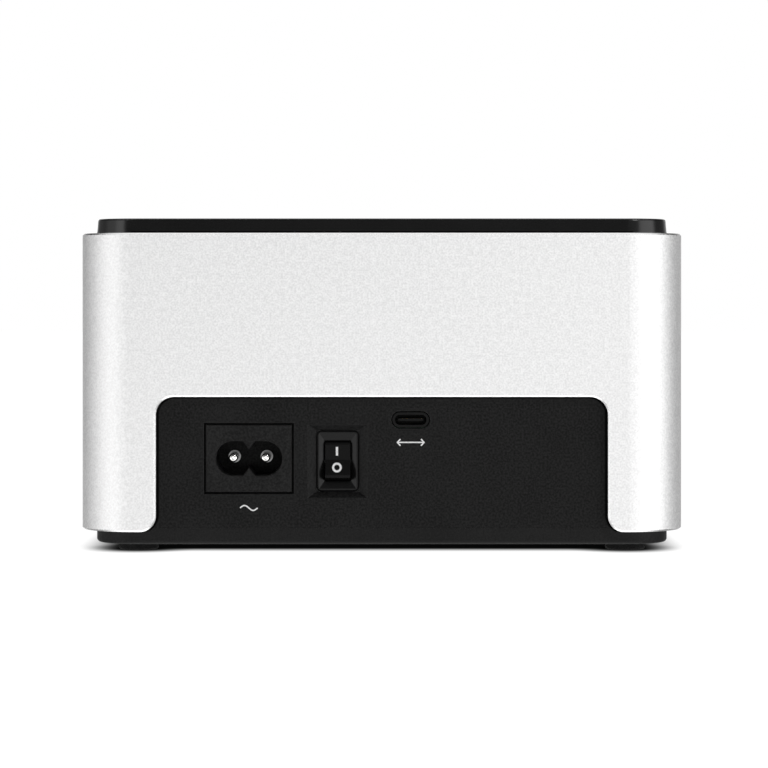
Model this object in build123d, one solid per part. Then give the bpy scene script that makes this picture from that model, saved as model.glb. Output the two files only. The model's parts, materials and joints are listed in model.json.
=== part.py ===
"""Hard drive docking station: two upright drive bays in an aluminium sleeve, with its own mains supply.

Frame: the origin lies on the table under the middle of the case, +X to the right as seen from the
front, +Y to the back and +Z up. All sizes are in millimetres. Left and right are as seen from the front.
"""

from build123d import *
import math
import os

# Case: an extruded sleeve closed by a plastic cover and a plastic tray
CASE_WIDTH = 160.0
CASE_DEPTH = 132.0
CASE_CORNER_RADIUS = 15.0
SLEEVE_WALL = 3.5
SLEEVE_BOTTOM = 5.5
SLEEVE_HEIGHT = 78.6
SLEEVE_EDGE_CHAMFER = 0.45
INSERT_GAP = 0.35
COLUMN_RADIUS = 4.5
COLUMN_BORE_RADIUS = 1.7
COLUMN_WEB = 3.0
COLUMN_TOP_SETBACK = 4.6

# Fits shared by many pieces
FIT_GAP = 0.05
PART_GAP = 0.3
CUT_MARGIN = 1.0

# Notch in the back of the sleeve
NOTCH_WIDTH = 118.8
NOTCH_TOP = 41.0
NOTCH_TOP_RADIUS = 4.8
NOTCH_FOOT_RADIUS = 4.2

# Top cover
COVER_RISE = 3.9
COVER_DECK = 2.5
COVER_SKIRT = 2.2
COVER_SKIRT_DEPTH = 4.1
COVER_DRAFT = 5.0
COVER_EDGE_RADIUS = 0.6
COVER_BOSS_RADIUS = 4.5

# Base tray and feet
BASE_BOTTOM = 2.0
BASE_FLOOR = 2.5
BASE_WALL = 2.2
BASE_RIM_TOP = 9.0
BASE_EDGE_RADIUS = 1.0
BASE_BOSS_RADIUS = 5.5
FOOT_RADIUS = 5.3
FOOT_SEAT_DEPTH = 0.6
FOOT_EDGE_RADIUS = 0.6
VENT_LENGTH = 22.0
VENT_WIDTH = 2.4
VENT_PITCH = 6.0
VENT_COUNT = 11
VENT_ROW_SPACING = 30.0

# Rear panel
PANEL_WIDTH = 128.0
PANEL_BOTTOM = 6.2
PANEL_TOP = 44.0
PANEL_THICKNESS = 2.5
PANEL_POST_X = 56.0
PANEL_POST_WIDTH = 8.0
PANEL_POST_DEPTH = 5.0
PANEL_POST_TOP = 20.0
PANEL_SCREW_HEIGHT = 14.0
PANEL_MOUTH_CHAMFER = 0.15

# Drive bays: the opening takes a 3.5-inch drive, and one side of it a 2.5-inch drive
BAY_SPACING = 60.0
BAY_LENGTH = 103.6
BAY_THICKNESS = 28.0
BAY_CENTRE_Y = 2.0
BAY_EDGE_CHAMFER = 1.0
SMALL_BAY_LENGTH = 71.3
SMALL_BAY_THICKNESS = 12.0
DRIVE_LENGTH = 101.6
DRIVE_THICKNESS = 26.1
WELL_WALL = 1.8
WELL_FRONT_WALL = 3.0
WELL_FLOOR = 2.0
WELL_FLOOR_TOP = 40.0
EAR_SIZE = 8.0
EAR_THICKNESS = 3.0
EAR_DROP = 5.0
EAR_OFFSET_Y = 32.0
DECK_BOSS_RADIUS = 3.0

# Bay flaps and their hinges
FLAP_THICKNESS = 1.8
FLAP_TOP_GAP = 0.2
FLAP_CORNER_RADIUS = 1.0
BARREL_RADIUS = 1.8
HINGE_PIN_RADIUS = 1.0
SPRING_SPACE = 9.0
SPRING_NOTCH = 5.0
SPRING_OFFSET_Y = 20.0
SPRING_WIRE_RADIUS = 0.25
SPRING_COIL_RADIUS = 1.45
SPRING_PITCH = 0.6
SPRING_WHOLE_TURNS = 9
SPRING_LEG_OVERLAP = 1.2
SPRING_WALL_LEG_ANGLE = 25.0

# Main board and the drive sockets on it
BOARD_THICKNESS = 1.6
MAIN_BOARD_TOP = 33.2
MAIN_BOARD_WIDTH = 116.0
MAIN_BOARD_FRONT = -50.0
MAIN_BOARD_BACK = 37.0
MAIN_POST_X = 52.0
MAIN_POST_FRONT_Y = -45.0
MAIN_POST_BACK_Y = 31.0
POST_RADIUS = 3.0
SOCKET_LENGTH = 37.6
SOCKET_THICKNESS = 5.8
SOCKET_REACH = 5.0
SOCKET_SLOT = 2.2
SOCKET_SLOT_DEPTH = 7.0
SOCKET_RIB = 2.4
SOCKET_LEAD_IN = 0.4
SOCKET_FROM_DRIVE_EDGE = 30.1
SOCKET_FROM_DRIVE_FACE = 3.5
CONTACT_PITCH = 1.27
CONTACT_WIDTH = 0.6
CONTACT_THICKNESS = 0.35
POWER_CONTACTS = 15
SIGNAL_CONTACTS = 7

# Mains supply board
SUPPLY_BOARD_UNDERSIDE = 8.0
SUPPLY_BOARD_WIDTH = 92.0
SUPPLY_BOARD_FRONT = -38.0
SUPPLY_BOARD_BACK = 26.0
SUPPLY_POST_INSET = 4.0
SHEET_THICKNESS = 0.4

# Mains inlet, two round pins in a figure-eight recess
INLET_X = 35.1
INLET_Z = 24.65
INLET_FACE_WIDTH = 22.7
INLET_FACE_HEIGHT = 17.7
INLET_FACE_GAP = 0.5
INLET_RIM_CHAMFER = 0.2
INLET_FLANGE_WIDTH = 31.0
INLET_FLANGE_HEIGHT = 22.0
INLET_FLANGE_THICKNESS = 3.0
INLET_BODY_WIDTH = 21.0
INLET_BODY_HEIGHT = 13.5
INLET_CORNER_RADIUS = 2.0
INLET_LOBE_RADIUS = 4.55
INLET_LOBE_SPACING = 8.4
INLET_WAIST_WIDTH = 3.2
INLET_WAIST_HEIGHT = 4.8
INLET_RECESS_DEPTH = 12.5
INLET_BACK_WALL = 3.5
INLET_PIN_SPACING = 8.6
INLET_PIN_RADIUS = 1.2
INLET_PIN_ROUNDING = 0.75
INLET_PIN_HOLE_RADIUS = 0.42
INLET_COLLAR_RADIUS = 1.65
INLET_COLLAR_THICKNESS = 0.9
INLET_PIN_SETBACK = 2.8
INLET_PIN_TAIL = 4.0
INLET_SCREW_X = 13.2

# Rocker switch
SWITCH_X = 11.68
SWITCH_Z = 23.9
SWITCH_SINK_SIDE = 2.15
SWITCH_SINK_END = 1.5
SWITCH_SINK_DEPTH = 2.0
SWITCH_POCKET_DEPTH = 1.2
SWITCH_PAD_MARGIN = 2.0
SWITCH_LEDGE = 2.0
BEZEL_SIDE = 1.7
BEZEL_END = 2.25
BEZEL_THICKNESS = 1.4
BEZEL_GAP = 0.5
BEZEL_RIM = 0.35
BEZEL_CORNER_RADIUS = 0.9
BEZEL_BEVEL_DEPTH = 0.8
PADDLE_SIDE_GAP = 0.25
PADDLE_END_GAP = 0.15
SWITCH_BODY_DEPTH = 12.0
SWITCH_WALL = 1.0
PADDLE_WIDTH = 6.6
PADDLE_ARC_RADIUS = 5.25
PADDLE_LIP_RADIUS = 1.0
PADDLE_VALLEY = 1.6
PADDLE_SLOPE = 11.0
PADDLE_BACK = 1.2
PADDLE_PRESSED_SETBACK = 0.25
PADDLE_STEM_REACH = 6.8
PADDLE_STEM_WIDTH = 2.4
TRUNNION_RADIUS = 1.0
SEESAW_DEPTH = 7.2
SEESAW_LENGTH = 9.0
SEESAW_THICKNESS = 0.5
SEESAW_TILT = 6.0
TERMINAL_WIDTH = 3.0
TERMINAL_THICKNESS = 0.8
TERMINAL_TAIL = 5.0
END_TERMINAL_DROP = 4.2

# Data port
PORT_X = -7.6
PORT_WIDTH = 8.94
PORT_HEIGHT = 3.26
PORT_WALL = 0.3
PORT_LENGTH = 7.4
PORT_SETBACK = 0.5
PORT_LIP = 0.38
PORT_LIP_THICKNESS = 0.8
PORT_HOLE_GAP = 0.25
PORT_TONGUE_WIDTH = 6.7
PORT_TONGUE_THICKNESS = 0.7
PORT_TONGUE_LENGTH = 4.5
PORT_BACK_WALL = 2.0
PORT_BOARD_LEFT = -22.0
PORT_BOARD_RIGHT = 3.0

# Front board with the two power buttons and their lights
BUTTON_Z = 60.0
BUTTON_RADIUS = 4.5
BUTTON_RING_WIDTH = 1.0
BUTTON_RING_LIP = 0.4
BUTTON_GUIDE_GAP = 0.08
BUTTON_TRAVEL = 0.5
BUTTON_FACE_SETBACK = 0.1
BUTTON_FLANGE_OVERLAP = 0.6
BUTTON_FLANGE_THICKNESS = 1.2
BUTTON_STEM_RADIUS = 2.0
LIGHT_RISE = 10.0
LIGHT_RADIUS = 1.2
LIGHT_COLLAR_RADIUS = 2.2
LIGHT_COLLAR_THICKNESS = 1.0
FRONT_BOARD_WIDTH = 96.0
FRONT_BOARD_BELOW_BUTTON = 10.0
FRONT_BOARD_ABOVE_BUTTON = 15.0
FRONT_SCREW_INSET = 4.0
FRONT_SCREW_DROP = 7.0
KEY_SIZE = 6.0
KEY_DEPTH = 3.5
KEY_PLUNGER_RADIUS = 1.75
KEY_PLUNGER_REACH = 1.5
KEY_PLUNGER_ROOT = 1.0
LED_SIZE = 2.0
LED_DEPTH = 1.0

# Screws, as pan heads with a cross recess
HEAD_RATIO = 1.9
HEAD_HEIGHT_RATIO = 0.65
HEAD_ROUNDING = 0.45
CROSS_LENGTH_RATIO = 1.1
CROSS_WIDTH_RATIO = 0.28
CASE_SCREW_RADIUS = 1.5
CASE_SCREW_BITE = 4.5
SMALL_SCREW_RADIUS = 1.25
BOARD_SCREW_RADIUS = 1.1
SCREW_BITE = 5.0
SUPPLY_SCREW_BITE = 3.0
SCREW_TIP_GAP = 0.5

# Wires
WIRE_RADIUS = 0.9
WIRE_HEIGHT_STEP = 2.6

# Levels and places that follow from the sizes above
SLEEVE_TOP = SLEEVE_BOTTOM + SLEEVE_HEIGHT
COVER_TOP = SLEEVE_TOP + COVER_RISE
DECK_UNDERSIDE = COVER_TOP - COVER_DECK
SKIRT_BOTTOM = SLEEVE_TOP - COVER_SKIRT_DEPTH
COLUMN_TOP = SLEEVE_TOP - COLUMN_TOP_SETBACK
FLOOR_TOP = BASE_BOTTOM + BASE_FLOOR
CORNER_X = CASE_WIDTH / 2 - CASE_CORNER_RADIUS
CORNER_Y = CASE_DEPTH / 2 - CASE_CORNER_RADIUS
INSERT_INSET = SLEEVE_WALL + INSERT_GAP
INSERT_WIDTH = CASE_WIDTH - 2 * INSERT_INSET
INSERT_DEPTH = CASE_DEPTH - 2 * INSERT_INSET
INSERT_RADIUS = CASE_CORNER_RADIUS - INSERT_INSET
PANEL_FACE = INSERT_DEPTH / 2
PANEL_INSIDE = PANEL_FACE - PANEL_THICKNESS
BAY_FRONT = BAY_CENTRE_Y - BAY_LENGTH / 2
BAY_BACK = BAY_CENTRE_Y + BAY_LENGTH / 2
BAY_EDGES = {"left": -BAY_SPACING / 2 - BAY_THICKNESS / 2, "right": BAY_SPACING / 2 - BAY_THICKNESS / 2}
BAY_CENTRES = {side: edge + BAY_THICKNESS / 2 for side, edge in BAY_EDGES.items()}
HINGE_FROM_EDGE = BAY_THICKNESS + BARREL_RADIUS
WELL_INNER_WIDTH = HINGE_FROM_EDGE + BARREL_RADIUS + PART_GAP
HINGE_Z = DECK_UNDERSIDE - FLAP_TOP_GAP - FLAP_THICKNESS
WELL_BOTTOM = WELL_FLOOR_TOP - WELL_FLOOR
WELL_FRONT = BAY_FRONT - WELL_FRONT_WALL
WELL_BACK = BAY_BACK + WELL_WALL
EAR_BOTTOM = DECK_UNDERSIDE - EAR_DROP - EAR_THICKNESS
MAIN_BOARD_UNDERSIDE = MAIN_BOARD_TOP - BOARD_THICKNESS
SUPPLY_BOARD_TOP = SUPPLY_BOARD_UNDERSIDE + BOARD_THICKNESS
SOCKET_X_FROM_EDGE = (BAY_THICKNESS - DRIVE_THICKNESS) / 2 + SOCKET_FROM_DRIVE_FACE
SOCKET_Y = BAY_FRONT + (BAY_LENGTH - DRIVE_LENGTH) / 2 + SOCKET_FROM_DRIVE_EDGE
SOCKET_TOP = WELL_FLOOR_TOP + SOCKET_REACH
WINDOW_WIDTH = PADDLE_WIDTH + 2 * PADDLE_SIDE_GAP
WINDOW_HEIGHT = 2 * (PADDLE_ARC_RADIUS + PADDLE_END_GAP)
BEZEL_WIDTH = WINDOW_WIDTH + 2 * BEZEL_SIDE
BEZEL_HEIGHT = WINDOW_HEIGHT + 2 * BEZEL_END
POCKET_WIDTH = BEZEL_WIDTH + 2 * BEZEL_GAP
POCKET_HEIGHT = BEZEL_HEIGHT + 2 * BEZEL_GAP
SWITCH_SINK_WIDTH = POCKET_WIDTH + 2 * SWITCH_SINK_SIDE
SWITCH_SINK_HEIGHT = POCKET_HEIGHT + 2 * SWITCH_SINK_END
SWITCH_LEDGE_Y = PANEL_FACE - SWITCH_SINK_DEPTH - SWITCH_POCKET_DEPTH
BEZEL_FRONT = SWITCH_LEDGE_Y + BEZEL_THICKNESS
PADDLE_VALLEY_DEPTH = PADDLE_VALLEY * math.cos(math.radians(PADDLE_SLOPE))
SWITCH_PIVOT_Y = BEZEL_FRONT - PADDLE_PRESSED_SETBACK - PADDLE_VALLEY_DEPTH
SWITCH_BODY_WIDTH = PADDLE_WIDTH + 2 * (PART_GAP + SWITCH_WALL)
SWITCH_BODY_HEIGHT = WINDOW_HEIGHT + 3 * PART_GAP + 2 * SWITCH_WALL
TRUNNION_REACH = SWITCH_BODY_WIDTH / 2 - PART_GAP
PORT_Z = MAIN_BOARD_TOP + PORT_HEIGHT / 2
SPRING_LEG = SPRING_NOTCH + SPRING_LEG_OVERLAP
LIGHT_Z = BUTTON_Z + LIGHT_RISE
FRONT_BOARD_BOTTOM = BUTTON_Z - FRONT_BOARD_BELOW_BUTTON
FRONT_BOARD_TOP = BUTTON_Z + FRONT_BOARD_ABOVE_BUTTON
FRONT_SCREW_Z = BUTTON_Z - FRONT_SCREW_DROP
FRONT_INSIDE = -CASE_DEPTH / 2 + SLEEVE_WALL
FRONT_BOARD_FACE = WELL_FRONT - BOARD_THICKNESS
KEY_FACE = FRONT_BOARD_FACE - KEY_DEPTH
RING_RADIUS = BUTTON_RADIUS + BUTTON_GUIDE_GAP + BUTTON_RING_WIDTH
BUTTON_FLANGE_RADIUS = RING_RADIUS + BUTTON_FLANGE_OVERLAP
SUPPLY_CENTRE_Y = (SUPPLY_BOARD_FRONT + SUPPLY_BOARD_BACK) / 2
LANE_X = (BAY_EDGES["left"] + WELL_INNER_WIDTH + BAY_EDGES["right"]) / 2
COLUMN_PLACES = [(x * CORNER_X, y * CORNER_Y) for x in (-1, 1) for y in (-1, 1)]
MAIN_POST_PLACES = [
    (x, y) for x in (-MAIN_POST_X, 0.0, MAIN_POST_X) for y in (MAIN_POST_FRONT_Y, MAIN_POST_BACK_Y)
]
SUPPLY_POST_PLACES = [
    (x * (SUPPLY_BOARD_WIDTH / 2 - SUPPLY_POST_INSET), y)
    for x in (-1, 1)
    for y in (SUPPLY_BOARD_FRONT + SUPPLY_POST_INSET, SUPPLY_BOARD_BACK - SUPPLY_POST_INSET)
]
UP = (Align.CENTER, Align.CENTER, Align.MIN)


def save(name, shape):
    """Writes one node, as one solid or as a group of separate solids."""
    if isinstance(shape, list):
        shape = Compound(children=[s for piece in shape for s in piece.solids()])
    export_step(shape, f"parts/{name}.step")


def block(x0, x1, y0, y1, z0, z1):
    """A box between two corners."""
    return Pos((x0 + x1) / 2, (y0 + y1) / 2, (z0 + z1) / 2) * Box(x1 - x0, y1 - y0, z1 - z0)


def post(x, y, z0, z1, radius):
    """An upright cylinder."""
    return Pos(x, y, z0) * Cylinder(radius, z1 - z0, align=UP)


def rod_y(x, z, y0, y1, radius):
    """A cylinder along Y."""
    return Pos(x, (y0 + y1) / 2, z) * Rot(90, 0, 0) * Cylinder(radius, y1 - y0)


def rounded_prism(width, depth, radius, z0, z1):
    """An upright prism with round corners, centred on the frame's Z axis."""
    return Pos(0, 0, z0) * extrude(RectangleRounded(width, depth, radius), z1 - z0)


def slab_xz(sketch, y0, y1):
    """A sketch drawn in X and Z, as seen from the front, made solid from y0 to y1."""
    return Pos(0, y1, 0) * extrude(Plane.XZ * sketch, y1 - y0)


def frustum_y(x, z, y_wide, y_narrow, wide, narrow):
    """A four-sided funnel along Y between two rectangles."""
    faces = [
        Plane(origin=(x, y, z), x_dir=(1, 0, 0), z_dir=(0, 1, 0)) * Rectangle(*size)
        for y, size in ((y_wide, wide), (y_narrow, narrow))
    ]
    return loft(faces)


def screw(radius, length):
    """A pan-head screw standing on its shank's end of the head, which is at z 0, with the shank below."""
    head_radius = radius * HEAD_RATIO
    head_height = radius * 2 * HEAD_HEIGHT_RATIO
    head = Cylinder(head_radius, head_height, align=UP)
    head = fillet(head.edges().group_by(Axis.Z)[-1], head_height * HEAD_ROUNDING)
    slot = Box(head_radius * CROSS_LENGTH_RATIO, head_radius * CROSS_WIDTH_RATIO, head_height)
    cross = Pos(0, 0, head_height) * (slot + Rot(0, 0, 90) * slot)
    return head - cross + Pos(0, 0, -length) * Cylinder(radius, length, align=UP)


def face_edges(shape, y, x, z, width, height):
    """The edges that lie flat at one y, inside a rectangle about (x, z)."""
    def fits(p):
        inside = abs(p.X - x) < width / 2 + FIT_GAP and abs(p.Z - z) < height / 2 + FIT_GAP
        return inside and abs(p.Y - y) < FIT_GAP / 10
    return [e for e in shape.edges() if all(fits(e @ t) for t in (0, 0.5, 1))]


def cord_along(points, radius, bend):
    """A round wire along straight runs joined by arcs."""
    path = FilletPolyline(*points, radius=bend)
    return sweep(Plane(origin=path @ 0, z_dir=path % 0) * Circle(radius), path=path)


# Case


def make_sleeve():
    body = rounded_prism(CASE_WIDTH, CASE_DEPTH, CASE_CORNER_RADIUS, SLEEVE_BOTTOM, SLEEVE_TOP)
    body -= rounded_prism(
        CASE_WIDTH - 2 * SLEEVE_WALL, CASE_DEPTH - 2 * SLEEVE_WALL, CASE_CORNER_RADIUS - SLEEVE_WALL,
        SLEEVE_BOTTOM, SLEEVE_TOP,
    )
    half = NOTCH_WIDTH / 2
    outer = half + 2 * NOTCH_FOOT_RADIUS
    below = SLEEVE_BOTTOM - CUT_MARGIN
    outline = FilletPolyline(
        (-outer, below), (-outer, SLEEVE_BOTTOM), (-half, SLEEVE_BOTTOM), (-half, NOTCH_TOP),
        (half, NOTCH_TOP), (half, SLEEVE_BOTTOM), (outer, SLEEVE_BOTTOM), (outer, below),
        radius=[0, 0, NOTCH_FOOT_RADIUS, NOTCH_TOP_RADIUS, NOTCH_TOP_RADIUS, NOTCH_FOOT_RADIUS, 0, 0],
        close=True,
    )
    body -= slab_xz(make_face(outline), 0, CASE_DEPTH)
    body = chamfer([e for e in body.edges() if is_outer_rim(e)], SLEEVE_EDGE_CHAMFER)
    for x, y in COLUMN_PLACES:
        body += sleeve_column(x, y)
    for x in BAY_CENTRES.values():
        body -= rod_y(x, BUTTON_Z, -CASE_DEPTH / 2, FRONT_INSIDE, RING_RADIUS)
        body -= rod_y(x, LIGHT_Z, -CASE_DEPTH / 2, FRONT_INSIDE, LIGHT_RADIUS + FIT_GAP)
    return body


def is_outer_rim(edge):
    """True for an edge round the outside of the sleeve's top, bottom or notch."""
    def inside(p):
        x = max(abs(p.X) - CORNER_X, 0)
        y = max(abs(p.Y) - CORNER_Y, 0)
        return CASE_CORNER_RADIUS - math.hypot(x, y) > 1e-3
    points = [edge @ t for t in (0, 0.5, 1)]
    if any(inside(p) for p in points):
        return False
    level = abs(points[0].Z - points[2].Z) < 1e-3
    below = all(p.Z < NOTCH_TOP + 1e-3 for p in points)
    return level or below


def sleeve_column(x, y):
    """A screw channel on a web to the corner, cut back from both ends of the sleeve."""
    height = COLUMN_TOP - BASE_RIM_TOP
    reach = CASE_CORNER_RADIUS - SLEEVE_WALL / 2
    web = Pos(reach / 2, 0, 0) * Box(reach, COLUMN_WEB, height, align=UP)
    towards_corner = math.degrees(math.atan2(math.copysign(1, y), math.copysign(1, x)))
    column = Rot(0, 0, towards_corner) * web
    column += Cylinder(COLUMN_RADIUS, height, align=UP)
    column -= Cylinder(COLUMN_BORE_RADIUS, height, align=UP)
    return Pos(x, y, BASE_RIM_TOP) * column


def make_cover():
    """The top cover: a drafted deck with two bay openings, a skirt inside the sleeve, and screw bosses."""
    rim = extrude(RectangleRounded(INSERT_WIDTH, INSERT_DEPTH, INSERT_RADIUS), COVER_RISE, taper=COVER_DRAFT)
    cover = Pos(0, 0, SLEEVE_TOP) * rim
    cover = fillet(cover.edges().group_by(Axis.Z)[-1], COVER_EDGE_RADIUS)
    cover += rounded_prism(INSERT_WIDTH, INSERT_DEPTH, INSERT_RADIUS, SKIRT_BOTTOM, SLEEVE_TOP)
    cover -= rounded_prism(
        INSERT_WIDTH - 2 * COVER_SKIRT, INSERT_DEPTH - 2 * COVER_SKIRT, INSERT_RADIUS - COVER_SKIRT,
        SKIRT_BOTTOM, DECK_UNDERSIDE,
    )
    for x, y in COLUMN_PLACES:
        cover += post(x, y, COLUMN_TOP, DECK_UNDERSIDE, COVER_BOSS_RADIUS)
        bore_end = COLUMN_TOP + CASE_SCREW_BITE + SCREW_TIP_GAP
        cover -= post(x, y, COLUMN_TOP, bore_end, CASE_SCREW_RADIUS + FIT_GAP)
    for edge in BAY_EDGES.values():
        opening = block(edge, edge + BAY_THICKNESS, BAY_FRONT, BAY_BACK, DECK_UNDERSIDE, COVER_TOP)
        cover -= opening
        rims = [e for e in cover.edges().group_by(Axis.Z)[-1]
                if edge - 1e-3 < e.center().X < edge + BAY_THICKNESS + 1e-3
                and BAY_FRONT - 1e-3 < e.center().Y < BAY_BACK + 1e-3]
        cover = chamfer(rims, BAY_EDGE_CHAMFER)
        for x, y in ear_places(edge):
            cover += post(x, y, DECK_UNDERSIDE - EAR_DROP, DECK_UNDERSIDE, DECK_BOSS_RADIUS)
            cover -= post(x, y, DECK_UNDERSIDE - EAR_DROP, DECK_UNDERSIDE, SMALL_SCREW_RADIUS + FIT_GAP)
    return cover


def make_base():
    """The base tray: floor, rim, posts for the boards and the rear panel, and seats for the feet."""
    tray = rounded_prism(INSERT_WIDTH, INSERT_DEPTH, INSERT_RADIUS, BASE_BOTTOM, BASE_RIM_TOP)
    tray = fillet(tray.edges().group_by(Axis.Z)[0], BASE_EDGE_RADIUS)
    tray -= rounded_prism(
        INSERT_WIDTH - 2 * BASE_WALL, INSERT_DEPTH - 2 * BASE_WALL, INSERT_RADIUS - BASE_WALL,
        FLOOR_TOP, BASE_RIM_TOP,
    )
    for x, y in COLUMN_PLACES:
        tray += post(x, y, FLOOR_TOP, BASE_RIM_TOP, BASE_BOSS_RADIUS)
    half = PANEL_WIDTH / 2
    tray -= block(
        -half - PART_GAP, half + PART_GAP, PANEL_INSIDE, PANEL_FACE + CUT_MARGIN, PANEL_BOTTOM, BASE_RIM_TOP,
    )
    for x, y in COLUMN_PLACES:
        tray -= post(x, y, BASE_BOTTOM, BASE_BOTTOM + FOOT_SEAT_DEPTH, FOOT_RADIUS + FIT_GAP)
        tray -= post(x, y, BASE_BOTTOM, case_screw_seat(), CASE_SCREW_RADIUS * HEAD_RATIO + PART_GAP)
        tray -= post(x, y, case_screw_seat(), BASE_RIM_TOP, COLUMN_BORE_RADIUS)
    for x, y in MAIN_POST_PLACES:
        tray += post(x, y, FLOOR_TOP, MAIN_BOARD_UNDERSIDE, POST_RADIUS)
        bore_end = MAIN_BOARD_UNDERSIDE - SCREW_BITE - SCREW_TIP_GAP
        tray -= post(x, y, bore_end, MAIN_BOARD_UNDERSIDE, BOARD_SCREW_RADIUS + FIT_GAP)
    for x, y in SUPPLY_POST_PLACES:
        tray += post(x, y, FLOOR_TOP, SUPPLY_BOARD_UNDERSIDE, POST_RADIUS)
        bore_end = SUPPLY_BOARD_UNDERSIDE - SUPPLY_SCREW_BITE - SCREW_TIP_GAP
        tray -= post(x, y, bore_end, SUPPLY_BOARD_UNDERSIDE, BOARD_SCREW_RADIUS + FIT_GAP)
    for side in (-1, 1):
        x = side * PANEL_POST_X
        tray += block(
            x - PANEL_POST_WIDTH / 2, x + PANEL_POST_WIDTH / 2, PANEL_INSIDE - PANEL_POST_DEPTH, PANEL_INSIDE,
            FLOOR_TOP, PANEL_POST_TOP,
        )
        post_front = PANEL_INSIDE - PANEL_POST_DEPTH
        tray -= rod_y(x, PANEL_SCREW_HEIGHT, post_front, PANEL_INSIDE, SMALL_SCREW_RADIUS + PART_GAP)
    for row in (-1, 1):
        for i in range(VENT_COUNT):
            x = (i - (VENT_COUNT - 1) / 2) * VENT_PITCH
            vent = extrude(SlotOverall(VENT_LENGTH, VENT_WIDTH, rotation=90), BASE_FLOOR)
            tray -= Pos(x, SUPPLY_CENTRE_Y + row * VENT_ROW_SPACING / 2, BASE_BOTTOM) * vent
    return tray


def case_screw_seat():
    """The level where the heads of the long case screws bear."""
    return BASE_BOTTOM + FOOT_SEAT_DEPTH + CASE_SCREW_RADIUS * 2 * HEAD_HEIGHT_RATIO + PART_GAP


def make_case_screws():
    """Four long screws from under the tray, through the sleeve's channels, into the cover's bosses."""
    seat = case_screw_seat()
    piece = Rot(180, 0, 0) * screw(CASE_SCREW_RADIUS, COLUMN_TOP + CASE_SCREW_BITE - seat)
    return [Pos(x, y, seat) * piece for x, y in COLUMN_PLACES]


def make_feet():
    pad = Cylinder(FOOT_RADIUS, BASE_BOTTOM + FOOT_SEAT_DEPTH, align=UP)
    pad = fillet(pad.edges().group_by(Axis.Z)[0], FOOT_EDGE_RADIUS)
    return [Pos(x, y, 0) * pad for x, y in COLUMN_PLACES]


# Rear panel and what is set in it


def make_panel():
    half = PANEL_WIDTH / 2
    panel = block(-half, half, PANEL_INSIDE, PANEL_FACE, PANEL_BOTTOM, PANEL_TOP)
    pad_x = POCKET_WIDTH / 2 + SWITCH_PAD_MARGIN
    pad_z = POCKET_HEIGHT / 2 + SWITCH_PAD_MARGIN
    pad_back = SWITCH_LEDGE_Y - SWITCH_LEDGE
    panel += block(
        SWITCH_X - pad_x, SWITCH_X + pad_x, pad_back, PANEL_INSIDE, SWITCH_Z - pad_z, SWITCH_Z + pad_z,
    )
    panel -= frustum_y(
        SWITCH_X, SWITCH_Z, PANEL_FACE, PANEL_FACE - SWITCH_SINK_DEPTH,
        (SWITCH_SINK_WIDTH, SWITCH_SINK_HEIGHT), (POCKET_WIDTH, POCKET_HEIGHT),
    )
    pocket = RectangleRounded(POCKET_WIDTH, POCKET_HEIGHT, BEZEL_CORNER_RADIUS + BEZEL_GAP)
    panel -= slab_xz(Pos(SWITCH_X, SWITCH_Z) * pocket, SWITCH_LEDGE_Y, PANEL_FACE - SWITCH_SINK_DEPTH)
    through = Rectangle(SWITCH_BODY_WIDTH + PART_GAP, SWITCH_BODY_HEIGHT + PART_GAP)
    panel -= slab_xz(Pos(SWITCH_X, SWITCH_Z) * through, pad_back, SWITCH_LEDGE_Y)
    inlet_size = (INLET_FACE_WIDTH + 2 * INLET_FACE_GAP, INLET_FACE_HEIGHT + 2 * INLET_FACE_GAP)
    panel -= slab_xz(Pos(INLET_X, INLET_Z) * Rectangle(*inlet_size), PANEL_INSIDE, PANEL_FACE)
    lip_gap = PORT_LIP + PORT_HOLE_GAP
    port_size = (PORT_WIDTH + 2 * lip_gap, PORT_HEIGHT + 2 * lip_gap)
    panel -= slab_xz(Pos(PORT_X, PORT_Z) * SlotOverall(*port_size), PANEL_INSIDE, PANEL_FACE)
    mouths = face_edges(panel, PANEL_FACE, INLET_X, INLET_Z, *inlet_size)
    mouths += face_edges(panel, PANEL_FACE, PORT_X, PORT_Z, *port_size)
    panel = chamfer(mouths, PANEL_MOUTH_CHAMFER)
    for side in (-1, 1):
        holes = (
            (side * PANEL_POST_X, PANEL_SCREW_HEIGHT, SMALL_SCREW_RADIUS),
            (INLET_X + side * INLET_SCREW_X, INLET_Z, BOARD_SCREW_RADIUS),
        )
        for x, z, radius in holes:
            panel -= rod_y(x, z, PANEL_INSIDE, panel_screw_end(), radius + FIT_GAP)
    return panel


def panel_screw_end():
    """How deep the screws reach into the panel from inside."""
    return PANEL_FACE - PANEL_THICKNESS / 3


def make_panel_screws():
    head = PANEL_INSIDE - PANEL_POST_DEPTH
    length = panel_screw_end() - head - FIT_GAP
    piece = Rot(90, 0, 0) * screw(SMALL_SCREW_RADIUS, length)
    return [Pos(side * PANEL_POST_X, head, PANEL_SCREW_HEIGHT) * piece for side in (-1, 1)]


def figure_eight():
    """The recess of the inlet: two round lobes in one slot, with a sharp cusp above and below."""
    outline = SlotOverall(INLET_LOBE_SPACING + 2 * INLET_LOBE_RADIUS, 2 * INLET_LOBE_RADIUS)
    half = INLET_WAIST_WIDTH / 2
    for side in (-1, 1):
        foot = side * INLET_LOBE_RADIUS
        apex = side * INLET_WAIST_HEIGHT / 2
        outline -= make_face(Polyline((-half, foot), (0, apex), (half, foot), close=True))
    return outline


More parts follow.
